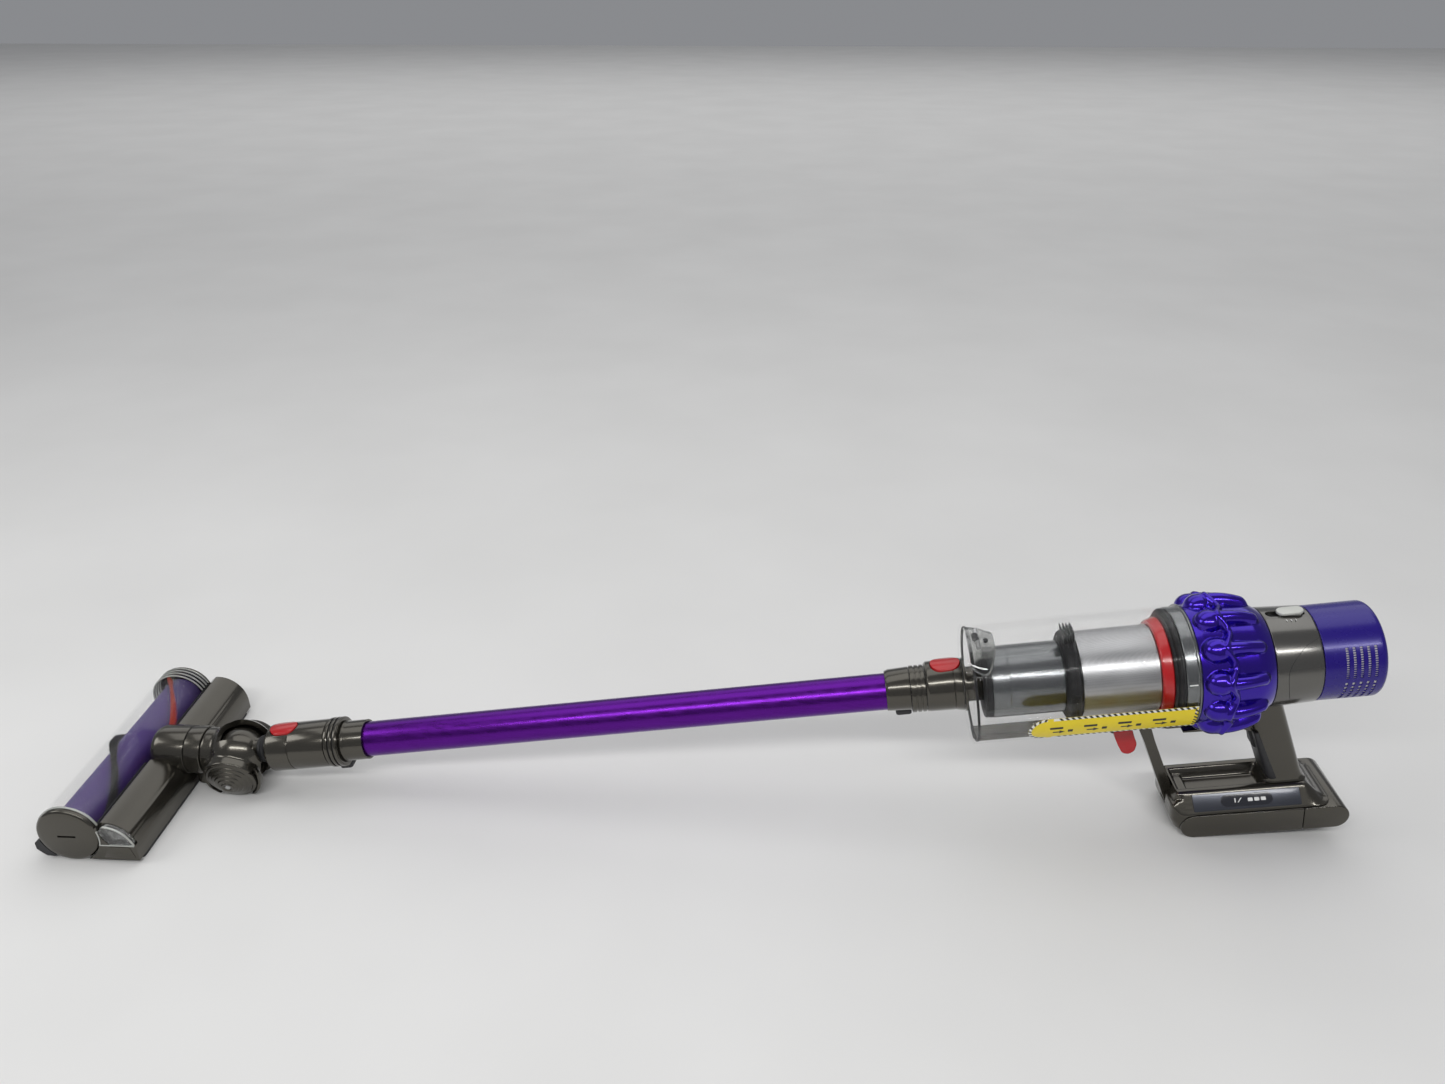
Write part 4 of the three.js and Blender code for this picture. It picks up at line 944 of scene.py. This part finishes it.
def build_grip():
    rings = []
    for w, grow in ((-139.4, 2.6), (-137.5, 1.2), (-134, 0.3), (-128, 0), (-100, 0), (-74, 0), (-60, 0),
                    (-40, 0)):
        outline = box_outline(-grow, GRIP_DEPTH + grow, -17 - grow * 0.6, 17 + grow * 0.6, 7.5)
        rings.append([(x, y, w) for x, y in outline])
    recess = slanted(block(-8, 23, -6.1, 6.1, -104.6, -77.4))
    housing = lathe([(1015, 0), (1015, 48.7), (1090, 44.9), (1090, 0)])
    cyclones = lathe([(940, 0), (940, 61), (959, 62), (964, 69.5), (984, 69.9), (1003, 65.5), (1021, 60),
                      (1029, 56), (1029, 0)])
    body_piece("grip", slanted(loft(rings)), "nickel_plastic", ["handle_shell"],
               cuts=[recess, housing, cyclones], bevel=0.5)
    blade = [(958.4, -71.3), (985, -70.2), (1024, -52), (1034, -80), (1026, -79.6), (1014, -74.6),
             (958.4, -73)]
    body_piece("spine_blade", prism_y(rounded(blade, 0.8), -12, 12), "nickel_plastic", cuts=[cyclones],
               bevel=0.5)
    # Painted shade and dark reflection: a near-black shell over the rounded front face of the grip.
    rings = []
    for w, depth in ((-137, 14.5), (-128, 12), (-110, 9), (-92, 6.5), (-77, 4.5)):
        rings.append([(x, y, w) for x, y in box_outline(-0.4, depth, -17.4, 17.4, min(7.9, depth * 0.48))])
    body_piece("grip_front_shade", slanted(loft(rings)), "dark_plastic",
               cuts=[recess, cyclones, slanted(block(3.5, 40, -15.5, 15.5, -200, 0))])
    trigger = rounded([(-3.4, -79.6), (-1.2, -78.1), (9.8, -78.1), (9.8, -103.9), (-2, -103.9),
                       (-3.5, -100), (-2.6, -91)], 1.6)
    body_piece("trigger_paddle", slanted(prism_y(trigger, -5.6, 5.6)), "dark_plastic", ["trigger"],
               body="trigger_body", bevel=0.9)


def smooth_step(value, low, high):
    t = min(max((value - low) / (high - low), 0), 1)
    return t * t * (3 - 2 * t)


def smooth_min(a, b, soft):
    return -smooth_max(-a, -b, soft)


def base_height(s, y):
    """Height of the handle base's top over its plan, or None outside it."""
    dx = max(BASE_FRONT + BASE_CORNER - s, s - BASE_BACK + BASE_CORNER)
    dy = abs(y) - BASE_HALF + BASE_CORNER
    inside = BASE_CORNER - math.hypot(max(dx, 0), max(dy, 0)) - min(max(dx, dy), 0)
    if inside < -0.01:
        return None
    floor = SLAB_W + SLAB_R + 0.4
    from_side = BASE_HALF - abs(y)
    rise = floor + BASE_SIDE_SLOPE * min(inside if dx > 0 and dy > 0 else from_side, from_side)
    rise = smooth_min(rise, floor + 2.4 * inside + 1.0, 2.0)
    top = RIDGE_W + 0.1
    height = smooth_min(rise, top, 2.4)
    trough = min(15 - abs(y), s - 954.8, 1040 - s)
    height -= 10.4 * smooth_step(trough, -1.5, 5.5)
    rear = smooth_step(s, 1073, 1094)
    height = height + (floor + 1.2 - height) * rear * 0.9
    return max(height, floor + 0.05)


def build_base():
    """The handle base: a height field over its plan, made in one with its front nose."""
    step_count = 150
    side_count = 72
    grid = {}
    points = []
    for i in range(step_count + 1):
        for k in range(side_count + 1):
            s = BASE_FRONT + (BASE_BACK - BASE_FRONT) * i / step_count
            y = BASE_HALF * (2 * k / side_count - 1)
            height = base_height(s, y)
            if height is None:
                continue
            grid[i, k] = len(points)
            points.append((s, y, height))
    under = {}
    for key, index in list(grid.items()):
        under[key] = len(points)
        points.append((points[index][0], points[index][1], SLAB_W + SLAB_R + 0.35))
    faces = []
    rim = {}
    for i in range(step_count):
        for k in range(side_count):
            cell = [(i, k), (i + 1, k), (i + 1, k + 1), (i, k + 1)]
            if all(c in grid for c in cell):
                faces.append(tuple(grid[c] for c in cell))
                faces.append(tuple(under[c] for c in reversed(cell)))
                for a, b in zip(cell, cell[1:] + cell[:1]):
                    if (b, a) in rim:
                        del rim[b, a]
                    else:
                        rim[a, b] = True
    for a, b in rim:
        faces.append((grid[a], under[a], under[b], grid[b]))
    foot = slanted(prism_z(box_outline(-0.6, GRIP_DEPTH + 0.6, -17.6, 17.6, 7.8), -139.6, -120))
    socket = prism_y([(930, -70), (940, -70), (953.9, -149), (953.9, -157.3), (946.2, -166.5), (930, -120)],
                     -7.4, 7.4)
    nose = rounded([(945.4, -150), (953, -146), (966, -146), (966, -180), (952.4, -180), (948.4, -176),
                    (945.8, -168)], 1.5)
    rings = []
    for k in range(33):
        y = -36 + 2.25 * k
        corner = BASE_CORNER - math.sqrt(BASE_CORNER ** 2 - max(0, abs(y) - BASE_HALF + BASE_CORNER) ** 2)
        crest = SLAB_W + SLAB_R + BASE_SIDE_SLOPE * (BASE_HALF - abs(y))
        rings.append([(min(x + corner, 967), y, min(z, crest)) for x, z in nose])
    body_piece("base_shell", joined((points, faces), loft(rings)), "nickel_plastic", ["handle_base"],
               cuts=[foot, socket, prism_y(slab_outline(0.4), -60, 60)], sharp=75, remesh=0.8)


def slab_outline(grow):
    return (arc(SLAB_BACK, SLAB_W, SLAB_R + grow, -90, 90, 24)
            + arc(SLAB_FRONT, SLAB_W, SLAB_R + grow, 90, 270, 24))


def half_slab(front):
    limit = SLAB_SEAM - 0.2 if front else SLAB_SEAM + 0.2
    keep = [(x, z) for x, z in slab_outline(0) if (x < limit) == front]
    ends = [(limit, SLAB_W - SLAB_R), (limit, SLAB_W + SLAB_R)]
    if front:
        return keep + ends
    return ends[:1] + keep + ends[1:]


def build_battery():
    body_piece("battery_case", prism_y(half_slab(True), -SLAB_HALF, SLAB_HALF), "nickel_plastic",
               ["battery_pack"], bevel=1.1)
    body_piece("battery_end", prism_y(half_slab(False), -SLAB_HALF, SLAB_HALF), "nickel_plastic",
               ["battery_end_cover"], bevel=1.1)
    strut = rounded([(916.2, -62.8), (928.8, -62.8), (933.6, -83), (953.3, -150), (953.2, -156.8),
                     (946.4, -165.6), (923.2, -83)], 1.5)
    body_piece("strut", prism_y(strut, -6.9, 6.9), "nickel_plastic", ["front_strut"], bevel=1.6)


def on_slope(shape):
    """Lays a flat shape, made about Y = 0, on the near sloping side of the handle base."""
    tilt = math.degrees(math.atan(BASE_SIDE_SLOPE))
    return shifted(turned(shape, tilt), 0, -29.2, -148.5)


def build_display():
    body_piece("display_panel", on_slope(prism_z(box_outline(966, 1068, -8.6, 8.2, 1.2), -0.4, 0.35)),
               "nickel_plastic", material=PANEL, bevel=0.25)
    body_piece("display_window", on_slope(crowned_pill(992.4, 1041.6, 6.1, -0.9, 0.75, 0.3)),
               "display_glass", ["display_lens"])
    bars = [prism_z(box_outline(1018 + 6.2 * i, 1022.6 + 6.2 * i, -1.7, 1.7, 0.7, 3), 0.7, 0.86)
            for i in range(3)]
    bars.append(prism_z([(1008, -2), (1009, -2), (1012.5, 2.2), (1011.4, 2.2)], 0.7, 0.86))
    bars.append(prism_z([(1005.4, -2), (1006.4, -2), (1006.4, 2.2), (1005.4, 2.2)], 0.7, 0.86))
    body_piece("display_marks", on_slope(joined(*bars)), "silver_plastic", material=WHITE_INK)


# ------------------------------------------------------------------ cleaner head

def at_neck(shape):
    """A shape made about the X axis, raised to the axis of the head's neck."""
    return shifted(shape, 0, 0, NECK_Z)


def neck_rod(x0, x1, radius, edge=0.01, segments=64):
    return at_neck(solid_rod(x0, x1, radius, edge, segments))


def ball_line(radius, numbers, count):
    """Points on a half circle over the X axis, cut into count equal turns."""
    return [(-radius * math.cos(a), radius * math.sin(a)) for a in [math.pi * k / count for k in numbers]]


def on_roller_axis(shape):
    """A shape made about the X axis, laid on the roller's axis."""
    return along_y(shape, COVER_X, COVER_Z)


def cover_shell(outer, inner, start, end, y0, y1, steps=48):
    """Part of a tube about the roller's axis, from one angle to another."""
    return prism_y(arc(COVER_X, COVER_Z, outer, start, end, steps)
                   + arc(COVER_X, COVER_Z, inner, end, start, steps), y0, y1)


def cover_rod(radius, y0, y1):
    return on_roller_axis(solid_rod(y0, y1, radius, 0.01, 96))


def crown_line(reach, degrees):
    """Points along the rear housing's rounded top, which is 2.5 mm higher than it is deep."""
    return [(-82 + reach * math.cos(a), 14 + (reach + 2.5) * math.sin(a)) for a in map(math.radians, degrees)]


def build_housing():
    rear_edge = [arc(COVER_X, COVER_Z, r, 20, 20, 1)[0] for r in (28.2, 31)]
    outline = rear_edge + crown_line(29, range(96, -1, -4)) + [(-53, 3.9), (-104, 3.9)]
    half = HEAD_HALF
    hollow = prism_y([(-90, 36), *crown_line(26.5, range(90, -1, -9)), (-55.5, -5), (-92, -5)], -half + 5,
                     half - 5)
    trim = [(-87, 39), *crown_line(28.8, range(84, 17, -6)), (-60, 22), (-78, 22), (-84, 30)]
    notch = [(-87.4, 39), (-86, 47), (-40, 47), (-40, 21.6), (-78.2, 21.6), (-84.4, 30)]
    head_piece("rear_housing", prism_y(outline, -half + 0.1, half - 0.1), "nickel_plastic",
               ["head_housing"], cuts=[cover_rod(COVER_R - COVER_WALL, -CHAMBER_HALF, CHAMBER_HALF),
                                       cover_rod(COVER_R + 0.3, -half - 4, -CHAMBER_HALF + 0.3),
                                       cover_rod(COVER_R + 0.3, CHAMBER_HALF - 0.3, half + 4),
                                       neck_rod(-104, -50, 25.3, segments=96), hollow,
                                       prism_y(notch, -half - 1, -half + 5.6)], bevel=0.8)
    head_piece("corner_window", prism_y(rounded(trim, 1.0, 2), -HEAD_HALF, -HEAD_HALF + 5.2),
               "clear_plastic", bevel=0.7, material=CLEAR_BLOCK,
               cuts=[cover_rod(COVER_R + 0.3, -HEAD_HALF - 4, -CHAMBER_HALF + 0.3)])
    # Painted highlight: the arch, side and sill of the clear corner window are pale opaque strips for the glints
    # on its edges.
    arch = crown_line(28.9, range(16, 91, 5)) + crown_line(27.6, range(90, 15, -5))
    side = arc(COVER_X, COVER_Z, 31.5, -17, 14, 8) + arc(COVER_X, COVER_Z, 32.8, 14, -17, 8)
    sill = [(-89, 21.2), (-54.5, 21.2), (-54.3, 22.5), (-89, 22.5)]
    edges = joined(*[prism_y(line, -HEAD_HALF - 0.45, -HEAD_HALF + 1.2) for line in (arch, side, sill)])
    head_piece("corner_window_edge", edges, "clear_plastic", material=CLEAR_EDGE_HIGHLIGHT, bevel=0.25)
    panel = rounded([(-79.5, 20.2), (-59.5, 20.2), (-56, 6.5), (-88, 6.5)], 1.2, 3)
    head_piece("end_panel", prism_y(panel, -HEAD_HALF - 0.35, -HEAD_HALF + 1), "nickel_plastic", bevel=0.3)


def build_cover():
    start = 20.8
    end = 197
    passage = neck_rod(-119, -60, 19)
    window = cover_shell(COVER_R, COVER_R - COVER_WALL, start, end, -CHAMBER_HALF + 0.7, CHAMBER_HALF - 0.7)
    head_piece("brush_window", window, "clear_plastic", ["brush_cover"], cuts=[passage], bevel=0.3,
               sharp=40)
    rings = [cover_shell(COVER_R + 0.5, COVER_R - 1.2, start + 2, end - 2, y, y + 0.9)
             for y in (101, 106, 111, 115.4)]
    # Painted shadow: dark bands laid between the clear ribs at the window's far end.
    shadows = [cover_shell(COVER_R + 0.2, COVER_R - 1.2, start + 2, end - 2, y, y + 1.3)
               for y in (102.2, 107.2, 112.2)]
    head_piece("window_groove_shadows", joined(*shadows), "dark_plastic", bevel=0.2)
    # Painted highlight: the ribs at the window's far end are real, but their pale opaque colour stands for glints
    # on the clear plastic.
    head_piece("window_ribs", joined(*rings), "clear_plastic", bevel=0.3, material=CLEAR_EDGE_HIGHLIGHT)
    seam = cover_shell(COVER_R + 0.15, COVER_R - 1.6, start - 0.9, start + 0.5, -CHAMBER_HALF + 1,
                       CHAMBER_HALF - 1, 4)
    head_piece("window_seam", seam, "dark_plastic", cuts=[passage, neck_rod(-104, -50, 25.3)])


def build_caps():
    slot = block(COVER_X - 9, COVER_X + 9, -130, -122.4, COVER_Z - 1.1, COVER_Z + 1.1)
    disc = [(-125, 0), (-125, 24), (-124.2, 28.6), (-122.6, 30.4), (-117.1, 30.7), (-117.1, 12),
            (-117.1, 4), (-105, 4), (-105, 0)]
    head_piece("near_cap", on_roller_axis(lathe(rounded(disc, 0.8, 3, closed=False), 128)),
               "nickel_plastic", ["end_cap"], body="head_end_cap", cuts=[slot])
    far = [(117.1, 0), (117.1, 30.6), (119, 30.6), (119.4, 29.6), (120.6, 29.6), (121, 28.4), (123, 27.4),
           (124.9, 24), (124.9, 0)]
    head_piece("far_cap", on_roller_axis(lathe(rounded(far, 0.4, 3, closed=False), 128)),
               "nickel_plastic", ["far_end_cap"])
    # Painted highlight: a pale opaque ring round the near cap's rim for the glint on its bevel.
    ring = [(-119.4, 29.55), (-119.4, 31.35), (-117.2, 31.35), (-117.2, 29.55)]
    head_piece("near_cap_ring", on_roller_axis(lathe(rounded(ring, 0.3, 2), 128)),
               "clear_plastic", body="head_end_cap", material=CLEAR_EDGE_HIGHLIGHT)


def build_bumper_and_sole():
    lip = rounded([(-155.4, 12), (-155.4, 19.6), (-151.6, 22.8), (-146, 22.8), (-138, 8), (-138, 4),
                   (-147, 4)], 1.2, 3)
    trims = [cover_rod(COVER_R - COVER_WALL, -CHAMBER_HALF, CHAMBER_HALF),
             cover_rod(COVER_R + 0.35, -126, -CHAMBER_HALF + 0.3),
             cover_rod(COVER_R + 0.35, CHAMBER_HALF - 0.3, 126),
             cover_shell(COVER_R + 0.3, COVER_R - 4, 20, 198, -CHAMBER_HALF, CHAMBER_HALF)]
    head_piece("bumper", prism_y(lip, -122.8, 122.8), "dark_plastic", ["front_bumper"], cuts=trims,
               bevel=0.5)
    wells = [block(-81, -67, y - 6, y + 6, -2, 6) for y in (-88, 88)]
    plate = prism_z(box_outline(-147, -53.4, -116.6, 116.6, 3), 0.05, 3.45)
    slot = prism_z(box_outline(-141, -98, -109, 109, 4), -2, 6)
    head_piece("sole", plate, "dark_plastic", ["sole_plate"], cuts=[slot, *wells], bevel=0.5)
    strips = [prism_y(rounded([(x, 0.1), (x, 3.6), (x + 2, 3.6), (x + 2, 0.1)], 0.3, 2), -100, 100)
              for x in (-144.6, -94)]
    head_piece("sole_felt", joined(*strips), "black_bristle")
    for name, side in (("left", -1), ("right", 1)):
        spin = solid_rod(side * 88 - 5, side * 88 + 5, 6, 1.2, 48)
        head_piece(f"{name}_floor_roller", along_y(spin, -74, 6.1), "rubber", [f"sole_roller_{name}"],
                   body=f"{name}_sole_roller")


def bristles(start_angle, rows, width, count, seed):
    """Rows of thin filaments that stand on the roller and wind round it."""
    points = []
    faces = []
    for i in range(count):
        y = -108.5 + 217 * i / (count - 1)
        for row in range(rows):
            jitter = noise.noise_vector(Vector((i * 0.37 + seed, row * 1.7, seed * 2.1)))
            angle = math.radians(start_angle + STRIP_TWIST * y)
            offset = (row / max(rows - 1, 1) - 0.5) * width
            base_r = ROLLER_CORE + 0.2
            tip_r = ROLLER_TIP - 0.35 - 0.5 * abs(jitter.x)
            lean = 1.2 * jitter.y
            twist = 0.9 * jitter.z
            first = len(points)
            for r, thick, dy, dt in ((base_r, 0.42, 0, 0), (tip_r, 0.2, twist, lean)):
                cx = r * math.cos(angle) - (offset + dt) * math.sin(angle)
                cz = r * math.sin(angle) + (offset + dt) * math.cos(angle)
                for a in (0, 2.1, 4.2):
                    side = thick * math.cos(a)
                    points.append((COVER_X + cx - side * math.sin(angle), y + dy + thick * math.sin(a),
                                   COVER_Z + cz + side * math.cos(angle)))
            a = first
            faces += [(a, a + 1, a + 4, a + 3), (a + 1, a + 2, a + 5, a + 4), (a + 2, a, a + 3, a + 5),
                      (a + 2, a + 1, a), (a + 3, a + 4, a + 5)]
    return points, faces


def ribbon(start_angle, thickness, low, high):
    """A solid bar that winds along the roller, for the root of a bristle strip."""
    steps = 72
    rings = []
    for i in range(steps + 1):
        y = -109 + 218 * i / steps
        angle = math.radians(start_angle + STRIP_TWIST * y)
        ring = []
        for r, side in ((low, -1), (low, 1), (high, 0.8), (high, -0.8)):
            t = side * thickness / 2
            ring.append((COVER_X + r * math.cos(angle) - t * math.sin(angle), y,
                         COVER_Z + r * math.sin(angle) + t * math.cos(angle)))
        rings.append(ring)
    return loft(rings)


def build_roller():
    core = [(-112, 4.3), (-112, 18.6), (-110.5, 20), (110.5, 20), (112, 18.6), (112, 4.3)]
    head_piece("roller_sleeve", on_roller_axis(lathe(rounded(core, 0.8, 3), 96)), "purple_roller",
               ["roller_tube"], body="brush_roller")
    head_piece("soft_bristles", bristles(135, 5, 5.0, 230, 1), "black_bristle", ["black_bristle_strip"],
               body="brush_roller")
    head_piece("stiff_bristles", bristles(-45, 3, 2.6, 230, 2), "red_bristle", ["red_bristle_strip"],
               body="brush_roller")
    head_piece("soft_strip_root", ribbon(135, 6.2, 19.4, 20.9), "black_bristle", body="brush_roller")
    head_piece("stiff_strip_root", ribbon(-45, 3.6, 19.4, 20.9), "red_bristle", body="brush_roller")
    for i, angle in enumerate((147, -33)):
        head_piece(f"strip_seam_{i}", ribbon(angle, 0.9, 19.6, 20.25), "dark_plastic", body="brush_roller")


def build_neck():
    """The neck on the head, and the collar on the yoke that it swivels in."""
    front = [(-94, 0), (-93.4, 6), (-92, 12), (-89.4, 18), (-86, 22.4), (-82, 24.6), (-78, 25), (-51.4, 25),
             (-51.4, 19), (-60, 19), (-60, 0)]
    tunnel = neck_rod(-119, -50, 18.6)
    head_piece("neck_sleeve", at_neck(lathe(rounded(front, 0.5, 3, closed=False), 96)), "nickel_plastic",
               ["neck_tube"], cuts=[cover_rod(COVER_R + 0.2, -70, 70), tunnel])
    collar = [(-50.7, 19.2), (-50.7, 24.4), (-50.2, 25), (-34.6, 25), (-34, 24.4), (-34, 19.2)]
    head_piece("swivel_collar", at_neck(lathe(rounded(collar, 0.4, 3), 96)), "nickel_plastic", body="yoke")


def leaning(shape, side):
    """Takes a shape made about X to a wheel's axle, which drops as it runs outwards."""
    lean = Matrix.Rotation(-side * CAMBER, 4, "X") @ Matrix.Rotation(math.radians(90 * side), 4, "Z")
    return moved(shape, Matrix.Translation((WHEEL_X, 0, AXLE_Z)) @ lean)


def build_yoke():
    """The ball-shaped shell that holds the wheels, open above for the wand's swing."""
    ball = at_neck(lathe([(-32.5, 0), *ball_line(32.5, range(1, 32), 32), (32.5, 0)], 64))
    drum = along_y(solid_rod(-25.4, 25.4, 24, 2.0), WHEEL_X, 26)
    hoods = joined(*[leaning(tube(20, 31.5, 29.8, 18, 1.2, 64), side) for side in (-1, 1)])
    fairing = prism_z(box_outline(-50, -8, -12, 12, 5), 5, 30)
    shape = joined(ball, neck_rod(-34, 2, 24.2, 0.5), drum, hoods, fairing)
    sweep = arc(0, NECK_Z, 60, -34, 119, 30)
    opening = prism_y([(-4, NECK_Z), (0, NECK_Z - 16), *sweep], -17.3, 17.3)
    hollow = at_neck(lathe([(-27.2, 0), *ball_line(27.2, range(1, 24), 24), (27.2, 0)], 48))
    bore = neck_rod(-60, -14, 18.8)
    wells = [leaning(solid_rod(25.9, 60, 27.3, 0.01), side) for side in (-1, 1)]
    below = [block(-80, 80, -60, 60, -10, 4), block(-80, 80, -60, -26.5, -10, 40),
             block(-80, 80, 26.5, 60, -10, 40)]
    head_piece("yoke_shell", shape, "nickel_plastic", ["neck_yoke"], body="yoke", remesh=1.0,
               cuts=[hollow, opening, bore, *wells, *below], sharp=40)


def build_ball():
    """The pivot inside the yoke, made with the wand's connector, and its rubber boot."""
    stem = ball_line(24, range(10, 27), 32) + [(30, 13), (70, 13), (70, 9.8), (10, 9.8), (-6, 20)]
    pocket = block(37, 74, -10, 10, 10.4, 24)
    body_piece("joint_ball", lathe(rounded(stem, 0.5, 2), 96), "dark_plastic", ["pivot_ball"],
               cuts=[pocket], material=LOOKS["nickel_plastic"])
    boot = [(22.6, 12.4), (25, 14), (27, 13.2), (29, 15.2), (31, 14.2), (33, 16.6), (35.8, 17),
            (35.8, 12.4)]
    body_piece("joint_boot", lathe(rounded(boot, 0.5, 2), 64), "rubber")


def build_wheels():
    """Two domed wheels with stepped rings."""
    steps = [(26.4, 3.3), (26.4, 25), (27.2, 25.9), (29.8, 26), (30.4, 25.4)]
    for height, radius in ((30.6, 22.8), (32.7, 18.8), (34.9, 14.8), (36.9, 10.8), (38.5, 6.8)):
        steps += [(height, radius), (height + 1.4, radius - 0.7)]
    steps += [(39.4, 3.8), (38.6, 3.3)]
    rim = rounded(steps, 0.35, 2)
    for name, side in (("left", -1), ("right", 1)):
        head_piece(f"{name}_dome_wheel", leaning(lathe(rim, 96), side), "nickel_plastic", [f"wheel_{name}"],
                   body=f"{name}_wheel")
        cap = lathe(rounded([(38.3, 0), (38.3, 3.2), (39.2, 3.2), (39.9, 2), (40.1, 0)], 0.4, 2,
                            closed=False), 32)
        head_piece(f"{name}_wheel_cap", leaning(cap, side), "steel", body=f"{name}_wheel")


def dress_hidden_nodes():
    """Gives the CAD pieces that stay as they are a finished material."""
    for row in frame["record"]["subparts"]:
        node = frame["nodes"][row["node"]]
        node.data.materials.clear()
        node.data.materials.append(LOOKS[row["material_slot"]])


dress_hidden_nodes()
build_wand()
build_inlet_and_door()
build_bin()
build_hinge_and_rail()
build_sticker()
build_cyclones()
build_motor_housing()
build_filter()
build_grip()
build_base()
build_battery()
build_display()
build_housing()
build_cover()
build_caps()
build_bumper_and_sole()
build_roller()
build_neck()
build_yoke()
build_ball()
build_wheels()
